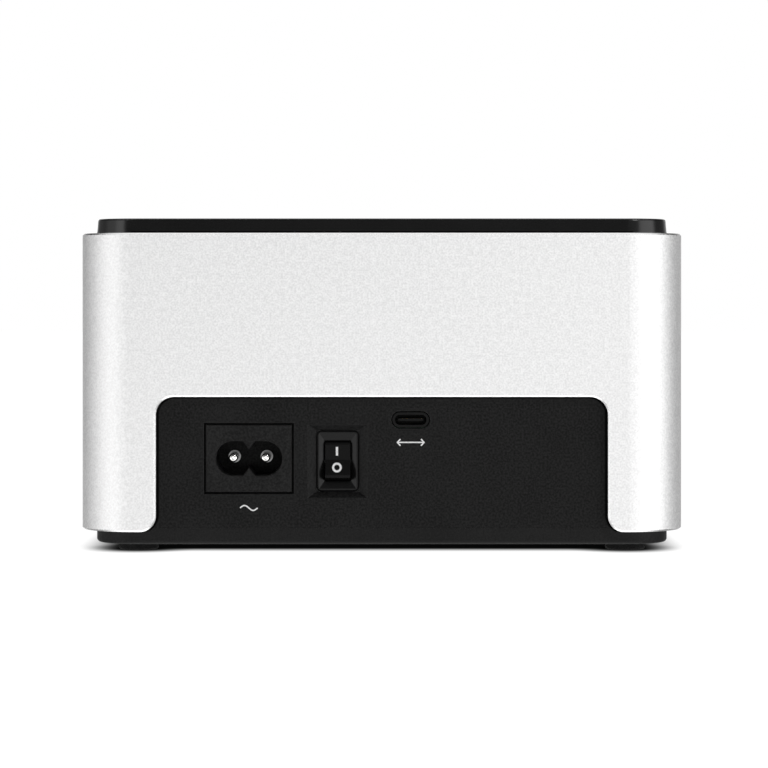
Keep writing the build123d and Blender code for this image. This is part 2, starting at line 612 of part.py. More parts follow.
def make_inlet():
    """The inlet's moulding, with its face flush in the panel and a flange screwed on from inside."""
    flange_back = PANEL_INSIDE - INLET_FLANGE_THICKNESS
    back = PANEL_FACE - INLET_RECESS_DEPTH - INLET_BACK_WALL
    place = Pos(INLET_X, INLET_Z)
    body = slab_xz(place * Rectangle(INLET_FACE_WIDTH, INLET_FACE_HEIGHT), PANEL_INSIDE, PANEL_FACE)
    flange = RectangleRounded(INLET_FLANGE_WIDTH, INLET_FLANGE_HEIGHT, INLET_CORNER_RADIUS)
    body += slab_xz(place * flange, flange_back, PANEL_INSIDE)
    rear = RectangleRounded(INLET_BODY_WIDTH, INLET_BODY_HEIGHT, INLET_CORNER_RADIUS)
    body += slab_xz(place * rear, back, flange_back)
    body -= slab_xz(place * figure_eight(), PANEL_FACE - INLET_RECESS_DEPTH, PANEL_FACE)
    rims = face_edges(body, PANEL_FACE, INLET_X, INLET_Z, INLET_FACE_WIDTH, INLET_FACE_HEIGHT)
    body = chamfer(rims, INLET_RIM_CHAMFER)
    for side in (-1, 1):
        pin_x = INLET_X + side * INLET_PIN_SPACING / 2
        body -= rod_y(pin_x, INLET_Z, back, PANEL_FACE, INLET_PIN_RADIUS + FIT_GAP)
        screw_x = INLET_X + side * INLET_SCREW_X
        body -= rod_y(screw_x, INLET_Z, flange_back, PANEL_INSIDE, BOARD_SCREW_RADIUS + PART_GAP)
    return body


def make_inlet_pins():
    """Two round contact pins with dimpled round tips, a collar on the recess floor and solder tails."""
    back = PANEL_FACE - INLET_RECESS_DEPTH - INLET_BACK_WALL
    tip = PANEL_FACE - INLET_PIN_SETBACK
    floor = PANEL_FACE - INLET_RECESS_DEPTH
    pins = []
    for side in (-1, 1):
        x = INLET_X + side * INLET_PIN_SPACING / 2
        pin = rod_y(x, INLET_Z, back, tip, INLET_PIN_RADIUS)
        pin = fillet(pin.edges().group_by(Axis.Y)[-1], INLET_PIN_ROUNDING)
        pin -= rod_y(x, INLET_Z, tip - INLET_PIN_RADIUS, tip, INLET_PIN_HOLE_RADIUS)
        pin += rod_y(x, INLET_Z, floor, floor + INLET_COLLAR_THICKNESS, INLET_COLLAR_RADIUS)
        pin += rod_y(x, INLET_Z, back - INLET_PIN_TAIL, back, INLET_PIN_RADIUS * 0.8)
        pins.append(pin)
    return pins


def make_inlet_screws():
    head = PANEL_INSIDE - INLET_FLANGE_THICKNESS
    length = panel_screw_end() - head - FIT_GAP
    piece = Rot(90, 0, 0) * screw(BOARD_SCREW_RADIUS, length)
    return [Pos(INLET_X + side * INLET_SCREW_X, head, INLET_Z) * piece for side in (-1, 1)]


# Rocker switch, drawn about its pivot with +Y outward


SWITCH_PLACE = Pos(SWITCH_X, SWITCH_PIVOT_Y, SWITCH_Z)
LEDGE_FROM_PIVOT = SWITCH_LEDGE_Y - SWITCH_PIVOT_Y
BODY_BACK_FROM_PIVOT = LEDGE_FROM_PIVOT - SWITCH_BODY_DEPTH


def make_switch_housing():
    front = LEDGE_FROM_PIVOT + BEZEL_THICKNESS
    bezel = RectangleRounded(BEZEL_WIDTH, BEZEL_HEIGHT, BEZEL_CORNER_RADIUS)
    housing = slab_xz(bezel, LEDGE_FROM_PIVOT, front)
    body = Rectangle(SWITCH_BODY_WIDTH, SWITCH_BODY_HEIGHT)
    housing += slab_xz(body, BODY_BACK_FROM_PIVOT, LEDGE_FROM_PIVOT)
    housing -= slab_xz(Rectangle(WINDOW_WIDTH, WINDOW_HEIGHT), LEDGE_FROM_PIVOT, front)
    housing -= frustum_y(
        0, 0, front, front - BEZEL_BEVEL_DEPTH,
        (BEZEL_WIDTH - 2 * BEZEL_RIM, BEZEL_HEIGHT - 2 * BEZEL_RIM), (WINDOW_WIDTH, WINDOW_HEIGHT),
    )
    cavity = Rectangle(SWITCH_BODY_WIDTH - 2 * SWITCH_WALL, SWITCH_BODY_HEIGHT - 2 * SWITCH_WALL)
    housing -= slab_xz(cavity, BODY_BACK_FROM_PIVOT + SWITCH_WALL, LEDGE_FROM_PIVOT)
    housing -= Rot(0, 90, 0) * Cylinder(TRUNNION_RADIUS + FIT_GAP, SWITCH_BODY_WIDTH)
    for z in (0, -END_TERMINAL_DROP):
        slot = Rectangle(TERMINAL_WIDTH + FIT_GAP, TERMINAL_THICKNESS + FIT_GAP)
        housing -= slab_xz(Pos(0, z) * slot, BODY_BACK_FROM_PIVOT, BODY_BACK_FROM_PIVOT + SWITCH_WALL)
    return SWITCH_PLACE * housing


def make_paddle():
    """The paddle at rest with its upper end pressed in. Its two faces meet in a valley over the pivot."""
    half_length = PADDLE_ARC_RADIUS
    rise = half_length * math.tan(math.radians(PADDLE_SLOPE))
    profile = Polyline(
        (-PADDLE_BACK, -half_length), (PADDLE_VALLEY + rise, -half_length), (PADDLE_VALLEY, 0),
        (PADDLE_VALLEY + rise, half_length), (-PADDLE_BACK, half_length), close=True,
    )
    wedge = extrude(Plane.YZ * make_face(profile), PADDLE_WIDTH / 2, both=True)
    drum = Rot(0, 90, 0) * Cylinder(PADDLE_ARC_RADIUS, PADDLE_WIDTH)
    paddle = wedge & drum
    lips = [e for e in paddle.edges().filter_by(Axis.X) if e.center().Y > PADDLE_VALLEY + 1e-3]
    paddle = fillet(lips, PADDLE_LIP_RADIUS)
    paddle += Rot(0, 90, 0) * Cylinder(TRUNNION_RADIUS, 2 * TRUNNION_REACH)
    half_stem = PADDLE_STEM_WIDTH / 2
    stem_end = -PADDLE_STEM_REACH + half_stem
    paddle += block(-half_stem, half_stem, stem_end, -PADDLE_BACK, -half_stem, half_stem)
    paddle += Pos(0, stem_end, 0) * Rot(0, 90, 0) * Cylinder(half_stem, PADDLE_STEM_WIDTH)
    return SWITCH_PLACE * Rot(PADDLE_SLOPE, 0, 0) * paddle


def make_seesaw():
    """The contact blade that the paddle's stem tips over its middle terminal."""
    blade = Box(TERMINAL_WIDTH, SEESAW_THICKNESS, SEESAW_LENGTH)
    return SWITCH_PLACE * Pos(0, -SEESAW_DEPTH, 0) * Rot(-SEESAW_TILT, 0, 0) * blade


def make_switch_terminals():
    tail = BODY_BACK_FROM_PIVOT - TERMINAL_TAIL
    middle_top = -SEESAW_DEPTH - SEESAW_THICKNESS
    end_top = middle_top - END_TERMINAL_DROP * math.sin(math.radians(SEESAW_TILT))
    half = TERMINAL_WIDTH / 2
    half_thick = TERMINAL_THICKNESS / 2
    return [
        SWITCH_PLACE * block(-half, half, tail, top, z - half_thick, z + half_thick)
        for z, top in ((0, middle_top), (-END_TERMINAL_DROP, end_top))
    ]


# Data port


def make_port_shell():
    """A drawn steel shell with a turned-out lip, open at the panel and closed at the back."""
    front = PANEL_FACE - PORT_SETBACK
    shell = slab_xz(SlotOverall(PORT_WIDTH, PORT_HEIGHT), front - PORT_LENGTH, front)
    lip = SlotOverall(PORT_WIDTH + 2 * PORT_LIP, PORT_HEIGHT + 2 * PORT_LIP)
    shell += slab_xz(lip, front - PORT_LIP_THICKNESS, front)
    inner = SlotOverall(PORT_WIDTH - 2 * PORT_WALL, PORT_HEIGHT - 2 * PORT_WALL)
    shell -= slab_xz(inner, front - PORT_LENGTH + PORT_WALL, front)
    return Pos(PORT_X, 0, PORT_Z) * shell


def make_port_tongue():
    """The tongue and the moulding at the back of the shell that carries it."""
    front = PANEL_FACE - PORT_SETBACK
    back = front - PORT_LENGTH + PORT_WALL
    inner = SlotOverall(PORT_WIDTH - 2 * (PORT_WALL + FIT_GAP), PORT_HEIGHT - 2 * (PORT_WALL + FIT_GAP))
    tongue = slab_xz(inner, back, back + PORT_BACK_WALL)
    tongue += slab_xz(
        Rectangle(PORT_TONGUE_WIDTH, PORT_TONGUE_THICKNESS), back + PORT_BACK_WALL,
        back + PORT_BACK_WALL + PORT_TONGUE_LENGTH,
    )
    return Pos(PORT_X, 0, PORT_Z) * tongue


# Drive bays


def ear_places(edge):
    """Where the ears of the well whose bay starts at edge are screwed up to the deck."""
    left = edge - WELL_WALL - EAR_SIZE / 2
    right = edge + WELL_INNER_WIDTH + WELL_WALL + EAR_SIZE / 2
    return [(x, BAY_CENTRE_Y + y) for x in (left, right) for y in (-EAR_OFFSET_Y, EAR_OFFSET_Y)]


def make_well(edge):
    """A drive well: a tub under one bay opening, with a slot for the drive socket in its floor."""
    x0 = edge
    x1 = edge + WELL_INNER_WIDTH
    well = block(x0 - WELL_WALL, x1 + WELL_WALL, WELL_FRONT, WELL_BACK, WELL_BOTTOM, DECK_UNDERSIDE)
    well -= block(x0, x1, BAY_FRONT, BAY_BACK, WELL_FLOOR_TOP, DECK_UNDERSIDE)
    x = edge + SOCKET_X_FROM_EDGE
    slot_x = SOCKET_THICKNESS / 2 + PART_GAP
    slot_y = SOCKET_LENGTH / 2 + PART_GAP
    well -= block(x - slot_x, x + slot_x, SOCKET_Y - slot_y, SOCKET_Y + slot_y, WELL_BOTTOM, WELL_FLOOR_TOP)
    hinge = edge + HINGE_FROM_EDGE
    well -= rod_y(hinge, HINGE_Z, hinge_pin_front(), WELL_BACK, HINGE_PIN_RADIUS + FIT_GAP)
    for ear_x, ear_y in ear_places(edge):
        wall_x = x0 - WELL_WALL if ear_x < edge else x1 + WELL_WALL
        low, high = sorted((wall_x, ear_x + math.copysign(EAR_SIZE / 2, ear_x - wall_x)))
        ear_top = EAR_BOTTOM + EAR_THICKNESS
        well += block(low, high, ear_y - EAR_SIZE / 2, ear_y + EAR_SIZE / 2, EAR_BOTTOM, ear_top)
        well -= post(ear_x, ear_y, EAR_BOTTOM, ear_top, SMALL_SCREW_RADIUS + PART_GAP)
    for screw_x in front_screw_places(edge):
        well -= rod_y(screw_x, FRONT_SCREW_Z, WELL_FRONT, front_screw_end(), BOARD_SCREW_RADIUS + FIT_GAP)
    return well


def front_screw_places(edge):
    """The two screws that hold the front board to one well."""
    return (edge + FRONT_SCREW_INSET, edge + WELL_INNER_WIDTH - FRONT_SCREW_INSET)


def front_screw_end():
    return BAY_FRONT - WELL_FRONT_WALL / 4


def make_well_screws():
    piece = Rot(180, 0, 0) * screw(SMALL_SCREW_RADIUS, EAR_THICKNESS + EAR_DROP - FIT_GAP)
    return [Pos(x, y, EAR_BOTTOM) * piece for edge in BAY_EDGES.values() for x, y in ear_places(edge)]


def make_flap(edge):
    """A spring-loaded flap. It covers the bay apart from the space for a 2.5-inch drive."""
    hinge = edge + HINGE_FROM_EDGE
    front = BAY_FRONT + PART_GAP
    back = BAY_BACK - PART_GAP
    spring_y = BAY_CENTRE_Y + SPRING_OFFSET_Y
    step = edge + SMALL_BAY_THICKNESS + PART_GAP
    step_y = BAY_FRONT + SMALL_BAY_LENGTH + PART_GAP
    outline = FilletPolyline(
        (hinge, front), (step, front), (step, step_y), (edge + PART_GAP, step_y), (edge + PART_GAP, back),
        (hinge, back), radius=[0] + 4 * [FLAP_CORNER_RADIUS] + [0], close=True,
    )
    plate = Pos(0, 0, HINGE_Z) * extrude(make_face(outline), FLAP_THICKNESS)
    plate += rod_y(hinge, HINGE_Z, front, back, BARREL_RADIUS)
    plate -= block(
        hinge - SPRING_NOTCH, hinge + BARREL_RADIUS, spring_y - SPRING_SPACE / 2, spring_y + SPRING_SPACE / 2,
        HINGE_Z - BARREL_RADIUS, HINGE_Z + FLAP_THICKNESS,
    )
    plate -= rod_y(hinge, HINGE_Z, front, back, HINGE_PIN_RADIUS + FIT_GAP)
    return plate


def make_hinge_pin(edge):
    return rod_y(edge + HINGE_FROM_EDGE, HINGE_Z, hinge_pin_front(), WELL_BACK, HINGE_PIN_RADIUS)


def hinge_pin_front():
    """The hinge pin's blind end, inside the well's front wall."""
    return BAY_FRONT - WELL_FRONT_WALL * 0.8


def make_flap_spring(edge):
    """A torsion spring round the hinge pin. One leg bears under the flap and one on the well's wall."""
    lift = math.degrees(math.asin((SPRING_COIL_RADIUS - SPRING_WIRE_RADIUS) / SPRING_LEG))
    start_angle = 270.0 - lift
    end_angle = 180.0 + SPRING_WALL_LEG_ANGLE
    turns = SPRING_WHOLE_TURNS + (end_angle - start_angle) / 360.0
    coil = Helix(pitch=SPRING_PITCH, height=SPRING_PITCH * turns, radius=SPRING_COIL_RADIUS)
    coil = Rot(0, 0, start_angle) * coil
    flap_leg = Line((coil @ 0) - (coil % 0) * SPRING_LEG, coil @ 0)
    wall_reach = (BARREL_RADIUS + PART_GAP - SPRING_WIRE_RADIUS
                  + SPRING_COIL_RADIUS * math.cos(math.radians(SPRING_WALL_LEG_ANGLE)))
    wall_leg_length = wall_reach / math.sin(math.radians(SPRING_WALL_LEG_ANGLE))
    wall_leg = Line(coil @ 1, (coil @ 1) + (coil % 1) * wall_leg_length)
    path = Wire([flap_leg.edge(), coil.edge(), wall_leg.edge()])
    spring = sweep(Plane(origin=path @ 0, z_dir=path % 0) * Circle(SPRING_WIRE_RADIUS), path=path)
    middle = SPRING_PITCH * turns / 2
    spring_y = BAY_CENTRE_Y + SPRING_OFFSET_Y
    return Pos(edge + HINGE_FROM_EDGE, spring_y + middle, HINGE_Z) * Rot(90, 0, 0) * spring


# Main board and drive sockets


def make_main_board():
    board = block(
        -MAIN_BOARD_WIDTH / 2, MAIN_BOARD_WIDTH / 2, MAIN_BOARD_FRONT, MAIN_BOARD_BACK,
        MAIN_BOARD_UNDERSIDE, MAIN_BOARD_TOP,
    )
    port_back = PANEL_INSIDE - PART_GAP
    board += block(
        PORT_BOARD_LEFT, PORT_BOARD_RIGHT, MAIN_BOARD_BACK, port_back, MAIN_BOARD_UNDERSIDE, MAIN_BOARD_TOP,
    )
    for x, y in MAIN_POST_PLACES:
        board -= post(x, y, MAIN_BOARD_UNDERSIDE, MAIN_BOARD_TOP, BOARD_SCREW_RADIUS + PART_GAP)
    return board


def make_board_screws():
    """The screws that hold the two level boards down on their posts."""
    long = screw(BOARD_SCREW_RADIUS, BOARD_THICKNESS + SCREW_BITE)
    short = screw(BOARD_SCREW_RADIUS, BOARD_THICKNESS + SUPPLY_SCREW_BITE)
    screws = [Pos(x, y, MAIN_BOARD_TOP) * long for x, y in MAIN_POST_PLACES]
    return screws + [Pos(x, y, SUPPLY_BOARD_TOP) * short for x, y in SUPPLY_POST_PLACES]


def socket_slots():
    """The power and signal slots as (first, last) along Y from the socket's middle."""
    power = POWER_CONTACTS * CONTACT_PITCH
    signal = SIGNAL_CONTACTS * CONTACT_PITCH
    start = -(power + SOCKET_RIB + signal) / 2
    return [(start, start + power), (start + power + SOCKET_RIB, start + power + SOCKET_RIB + signal)]


def make_socket(edge):
    """A tall upright drive socket that stands on the main board and rises through the well's floor."""
    x = edge + SOCKET_X_FROM_EDGE
    body = Pos(x, SOCKET_Y, MAIN_BOARD_TOP) * Box(
        SOCKET_THICKNESS, SOCKET_LENGTH, SOCKET_TOP - MAIN_BOARD_TOP, align=UP,
    )
    body = chamfer(body.edges().group_by(Axis.Z)[-1], SOCKET_LEAD_IN)
    for first, last in socket_slots():
        body -= block(
            x - SOCKET_SLOT / 2, x + SOCKET_SLOT / 2, SOCKET_Y + first, SOCKET_Y + last,
            SOCKET_TOP - SOCKET_SLOT_DEPTH, SOCKET_TOP,
        )
    return body


def make_socket_contacts(edge):
    """The gold-plated contact blades along one wall of the socket's two slots."""
    x = edge + SOCKET_X_FROM_EDGE + SOCKET_SLOT / 2 - CONTACT_THICKNESS / 2
    height = SOCKET_SLOT_DEPTH - CONTACT_PITCH
    blade = Box(CONTACT_THICKNESS, CONTACT_WIDTH, height, align=UP)
    places = [
        SOCKET_Y + first + (i + 0.5) * CONTACT_PITCH
        for (first, _), count in zip(socket_slots(), (POWER_CONTACTS, SIGNAL_CONTACTS))
        for i in range(count)
    ]
    return [Pos(x, y, SOCKET_TOP - SOCKET_SLOT_DEPTH) * blade for y in places]


# What stands on the two boards, as (x, y) places on the board and sizes

CHIP_SIZE = 12.0
CHIP_HEIGHT = 1.4
CHIP_PLACES = [(LANE_X, -22.0), (LANE_X, 8.0), (-28.0, -25.0), (36.0, -25.0)]
SINK_SIZE = 16.0
SINK_BASE = 2.0
SINK_HEIGHT = 8.0
SINK_FINS = 5
FIN_THICKNESS = 1.0
BOARD_CAN_RADIUS = 4.0
BOARD_CAN_HEIGHT = 11.5
BOARD_CAN_PLACES = [(LANE_X - 5.0, 24.0), (LANE_X + 5.0, 24.0)]
BOARD_CAN_PLACES += [(x, y) for x in (-53.0, 54.0) for y in (-8.0, 4.0)]
COIL_SIZE = 8.0
COIL_HEIGHT = 4.0
COIL_PLACES = [(-24.0, 20.0), (-24.0, 6.0), (36.0, 20.0), (36.0, 6.0)]

SUPPLY_CORE_LENGTH = 30.0
SUPPLY_CORE_WIDTH = 9.0
SUPPLY_CORE_HEIGHT = 17.0
SUPPLY_CORE_LEG = 5.0
SUPPLY_CORE_YOKE = 3.0
SUPPLY_CORE_POST_RADIUS = 4.0
SUPPLY_CORE_PLACE = (-2.0, -8.0)
BULK_CAN_RADIUS = 8.0
BULK_CAN_HEIGHT = 18.0
BULK_CAN_PLACE = (32.0, 8.0)
OUTPUT_CAN_RADIUS = 5.0
OUTPUT_CAN_HEIGHT = 16.0
OUTPUT_CAN_PLACES = [(-33.0, -24.0), (-33.0, -12.0), (-33.0, 0.0)]
CHOKE_RING_RADIUS = 6.0
CHOKE_WIRE_RADIUS = 2.6
CHOKE_PLACE = (32.0, -12.0)
FUSE_RADIUS = 2.6
FUSE_LENGTH = 20.0
FUSE_PLACE = (32.0, -27.0)
FILTER_BOX = (18.0, 7.0, 13.0)
FILTER_BOX_PLACE = (6.0, 18.0)
FIN_PLATE_THICKNESS = 2.0
FIN_PLATE_LENGTH = 28.0
FIN_PLATE_HEIGHT = 18.0
FIN_PLATE_PLACES = [(-22.0, -8.0), (18.0, -8.0)]
TRANSISTOR_SIZE = (4.4, 10.0, 15.0)


def make_chips():
    chip = Box(CHIP_SIZE, CHIP_SIZE, CHIP_HEIGHT, align=UP)
    return [Pos(x, y, MAIN_BOARD_TOP) * chip for x, y in CHIP_PLACES]


def make_chip_sinks():
    """Finned heat sinks on the two bridge chips between the wells."""
    sink = Box(SINK_SIZE, SINK_SIZE, SINK_BASE, align=UP)
    pitch = (SINK_SIZE - FIN_THICKNESS) / (SINK_FINS - 1)
    for i in range(SINK_FINS):
        fin_y = (i - (SINK_FINS - 1) / 2) * pitch
        sink += Pos(0, fin_y, SINK_BASE) * Box(SINK_SIZE, FIN_THICKNESS, SINK_HEIGHT - SINK_BASE, align=UP)
    return [Pos(x, y, MAIN_BOARD_TOP + CHIP_HEIGHT) * sink for x, y in CHIP_PLACES[:2]]


def make_can(x, y, z, radius, height):
    """An electrolytic capacitor, standing."""
    can = Cylinder(radius, height, align=UP)
    can = fillet(can.edges(), radius * 0.1)
    top = Pos(0, 0, height) * Box(radius * 1.4, radius * 0.12, 0.4)
    return Pos(x, y, z) * (can - top - Rot(0, 0, 90) * top)


def make_board_cans():
    return [make_can(x, y, MAIN_BOARD_TOP, BOARD_CAN_RADIUS, BOARD_CAN_HEIGHT) for x, y in BOARD_CAN_PLACES]


def make_output_cans():
    return [
        make_can(x, y, SUPPLY_BOARD_TOP, OUTPUT_CAN_RADIUS, OUTPUT_CAN_HEIGHT) for x, y in OUTPUT_CAN_PLACES
    ]


def make_board_coils():
    half = COIL_SIZE / 2
    coil = Box(COIL_SIZE, COIL_SIZE, COIL_HEIGHT, align=UP)
    coil = chamfer(coil.edges().filter_by(Axis.Z), half * 0.3)
    return [Pos(x, y, MAIN_BOARD_TOP) * coil for x, y in COIL_PLACES]


def make_supply_board():
    half = SUPPLY_BOARD_WIDTH / 2
    board = block(
        -half, half, SUPPLY_BOARD_FRONT, SUPPLY_BOARD_BACK, SUPPLY_BOARD_UNDERSIDE, SUPPLY_BOARD_TOP,
    )
    for x, y in SUPPLY_POST_PLACES:
        board -= post(x, y, SUPPLY_BOARD_UNDERSIDE, SUPPLY_BOARD_TOP, BOARD_SCREW_RADIUS + PART_GAP)
    return board


def make_transformer_core():
    """A ferrite core: two yokes joined by outer legs and a round middle leg."""
    x, y = SUPPLY_CORE_PLACE
    half_x = SUPPLY_CORE_LENGTH / 2
    half_y = SUPPLY_CORE_WIDTH / 2
    window = half_x - SUPPLY_CORE_LEG
    z0 = SUPPLY_BOARD_TOP + FIT_GAP
    z1 = SUPPLY_BOARD_TOP + SUPPLY_CORE_HEIGHT
    core = block(x - half_x, x + half_x, y - half_y, y + half_y, z0, z1)
    yoke = SUPPLY_CORE_YOKE
    core -= block(x - window, x + window, y - half_y, y + half_y, z0 + yoke, z1 - yoke)
    return core + post(x, y, z0, z1, SUPPLY_CORE_POST_RADIUS)


def make_transformer_winding():
    """The taped winding on its former, round the core's middle leg."""
    x, y = SUPPLY_CORE_PLACE
    z0 = SUPPLY_BOARD_TOP + FIT_GAP + SUPPLY_CORE_YOKE
    z1 = SUPPLY_BOARD_TOP + SUPPLY_CORE_HEIGHT - SUPPLY_CORE_YOKE
    radius = SUPPLY_CORE_LENGTH / 2 - SUPPLY_CORE_LEG - PART_GAP
    winding = post(x, y, z0 + FIT_GAP, z1 - FIT_GAP, radius)
    return winding - post(x, y, z0, z1, SUPPLY_CORE_POST_RADIUS + FIT_GAP)


def make_choke():
    """The mains filter choke: a toroid that lies on the board."""
    x, y = CHOKE_PLACE
    ring = Torus(CHOKE_RING_RADIUS, CHOKE_WIRE_RADIUS)
    return Pos(x, y, SUPPLY_BOARD_TOP + CHOKE_WIRE_RADIUS) * ring


def make_fuse():
    x, y = FUSE_PLACE
    z = SUPPLY_BOARD_TOP + FUSE_RADIUS
    return Pos(x, y, z) * Rot(0, 90, 0) * Cylinder(FUSE_RADIUS, FUSE_LENGTH)


def make_filter_box():
    x, y = FILTER_BOX_PLACE
    box = Box(*FILTER_BOX, align=UP)
    return Pos(x, y, SUPPLY_BOARD_TOP) * fillet(box.edges().filter_by(Axis.Z), 0.8)


def make_supply_sinks():
    plate = Box(FIN_PLATE_THICKNESS, FIN_PLATE_LENGTH, FIN_PLATE_HEIGHT, align=UP)
    return [Pos(x, y, SUPPLY_BOARD_TOP) * plate for x, y in FIN_PLATE_PLACES]


def make_transistors():
    """The switching transistor and the rectifier, each on the outer face of its heat sink."""
    body = Box(*TRANSISTOR_SIZE, align=UP)
    offset = (FIN_PLATE_THICKNESS + TRANSISTOR_SIZE[0]) / 2
    places = [(x + side * offset, y) for (x, y), side in zip(FIN_PLATE_PLACES, (-1, 1))]
    return [Pos(x, y, SUPPLY_BOARD_TOP) * body for x, y in places]


def make_insulation():
    """The insulating sheet bonded under the main board, over the supply and between the posts."""
    half = MAIN_POST_X - POST_RADIUS - PART_GAP
    front = MAIN_POST_FRONT_Y + POST_RADIUS + PART_GAP
    back = MAIN_POST_BACK_Y - POST_RADIUS - PART_GAP
    return block(-half, half, front, back, MAIN_BOARD_UNDERSIDE - SHEET_THICKNESS, MAIN_BOARD_UNDERSIDE)


# Front board, buttons and lights


def make_front_board():
    left = LANE_X - FRONT_BOARD_WIDTH / 2
    right = LANE_X + FRONT_BOARD_WIDTH / 2
    board = block(left, right, FRONT_BOARD_FACE, WELL_FRONT, FRONT_BOARD_BOTTOM, FRONT_BOARD_TOP)
    for edge in BAY_EDGES.values():
        for x in front_screw_places(edge):
            board -= rod_y(x, FRONT_SCREW_Z, FRONT_BOARD_FACE, WELL_FRONT, BOARD_SCREW_RADIUS + PART_GAP)
    return board


def make_front_screws():
    length = front_screw_end() - FRONT_BOARD_FACE - FIT_GAP
    piece = Rot(90, 0, 0) * screw(BOARD_SCREW_RADIUS, length)
    places = [x for edge in BAY_EDGES.values() for x in front_screw_places(edge)]
    return [Pos(x, FRONT_BOARD_FACE, FRONT_SCREW_Z) * piece for x in places]


def make_key_switch(x):
    """The housing of the key switch behind one button."""
    half = KEY_SIZE / 2
    body = block(x - half, x + half, KEY_FACE, FRONT_BOARD_FACE, BUTTON_Z - half, BUTTON_Z + half)
    bore_end = KEY_FACE + KEY_PLUNGER_ROOT + BUTTON_TRAVEL + PART_GAP
    return body - rod_y(x, BUTTON_Z, KEY_FACE, bore_end, KEY_PLUNGER_RADIUS + FIT_GAP)


def make_key_plunger(x):
    return rod_y(x, BUTTON_Z, KEY_FACE - KEY_PLUNGER_REACH, KEY_FACE + KEY_PLUNGER_ROOT, KEY_PLUNGER_RADIUS)


def make_button(x):
    """A power button: a cap in its ring, a flange that keeps it in, and a stem to the key switch."""
    face = -CASE_DEPTH / 2 + BUTTON_FACE_SETBACK
    flange_front = FRONT_INSIDE + BUTTON_RING_LIP + PART_GAP
    button = rod_y(x, BUTTON_Z, face, flange_front, BUTTON_RADIUS)
    button = fillet(button.edges().group_by(Axis.Y)[0], 0.3)
    button += rod_y(x, BUTTON_Z, flange_front, flange_front + BUTTON_FLANGE_THICKNESS, BUTTON_FLANGE_RADIUS)
    button += rod_y(x, BUTTON_Z, flange_front, KEY_FACE - KEY_PLUNGER_REACH, BUTTON_STEM_RADIUS)
    return button


def make_button_ring(x):
    """The ring that lines the sleeve's button hole, with a lip behind the wall."""
    front = -CASE_DEPTH / 2
    ring = rod_y(x, BUTTON_Z, front, FRONT_INSIDE, RING_RADIUS)
    ring += rod_y(x, BUTTON_Z, FRONT_INSIDE, FRONT_INSIDE + BUTTON_RING_LIP, RING_RADIUS + BUTTON_RING_LIP)
    return ring - rod_y(x, BUTTON_Z, front, FRONT_INSIDE + BUTTON_RING_LIP, BUTTON_RADIUS + BUTTON_GUIDE_GAP)


def make_light_pipe(x):
    """A clear light pipe from the status light to the sleeve's face, with a collar behind the wall."""
    tip = -CASE_DEPTH / 2 + BUTTON_FACE_SETBACK
    back = FRONT_BOARD_FACE - LED_DEPTH - FIT_GAP
    pipe = rod_y(x, LIGHT_Z, tip, back, LIGHT_RADIUS)
    pipe = fillet(pipe.edges().group_by(Axis.Y)[0], 0.2)
    collar = FRONT_INSIDE + FIT_GAP
    return pipe + rod_y(x, LIGHT_Z, collar, collar + LIGHT_COLLAR_THICKNESS, LIGHT_COLLAR_RADIUS)


def make_status_lights():
    light = Box(LED_SIZE, LED_DEPTH, LED_SIZE)
    return [Pos(x, FRONT_BOARD_FACE - LED_DEPTH / 2, LIGHT_Z) * light for x in BAY_CENTRES.values()]


# Wires and the plugs they end in

PLUG_WIDTH = 8.0
PLUG_DEPTH = 5.0
PLUG_HEIGHT = 6.0
MAINS_PLUG_PLACE = (31.0, 21.5)
RIBBON_WIDTH = 10.0
RIBBON_THICKNESS = 0.8
RIBBON_BEND = 2.5
RIBBON_PLUG_LENGTH = 14.0
RIBBON_TOP_Z = 60.0
RIBBON_FOOT_Y = -37.0
OUTPUT_PLUG_X = -38.0
OUTPUT_PLUG_Y = 12.0
LEAD_LANE_X = -50.8
WIRE_BEND = 4.0


def make_ribbon():
    """The flat cable from the main board up to the front board."""
    top_y = WELL_FRONT + PLUG_DEPTH / 2
    top_z = RIBBON_TOP_Z - PLUG_HEIGHT / 2
    foot_z = MAIN_BOARD_TOP + PLUG_HEIGHT
    middle = (top_z + foot_z) / 2
    path = FilletPolyline(
        (LANE_X, top_y, top_z), (LANE_X, top_y, middle + RIBBON_BEND),
        (LANE_X, RIBBON_FOOT_Y, middle - RIBBON_BEND), (LANE_X, RIBBON_FOOT_Y, foot_z), radius=RIBBON_BEND,
    )
    start = Plane(origin=path @ 0, x_dir=(1, 0, 0), z_dir=path % 0)
    return sweep(start * Rectangle(RIBBON_WIDTH, RIBBON_THICKNESS), path=path)


def make_ribbon_plugs():
    across = Box(RIBBON_PLUG_LENGTH, PLUG_DEPTH, PLUG_HEIGHT, align=UP)
    top = Pos(LANE_X, WELL_FRONT + PLUG_DEPTH / 2, RIBBON_TOP_Z - PLUG_HEIGHT / 2) * across
    foot = Pos(LANE_X, RIBBON_FOOT_Y, MAIN_BOARD_TOP) * across
    return [top, foot]


def make_supply_plugs():
    """The mains plug and the output plug on the supply board."""
    mains = Box(2 * PLUG_WIDTH, PLUG_DEPTH, PLUG_HEIGHT, align=UP)
    low = Box(PLUG_DEPTH, PLUG_WIDTH, PLUG_HEIGHT, align=UP)
    return [
        Pos(*MAINS_PLUG_PLACE, SUPPLY_BOARD_TOP) * mains,
        Pos(OUTPUT_PLUG_X, OUTPUT_PLUG_Y, SUPPLY_BOARD_TOP) * low,
    ]


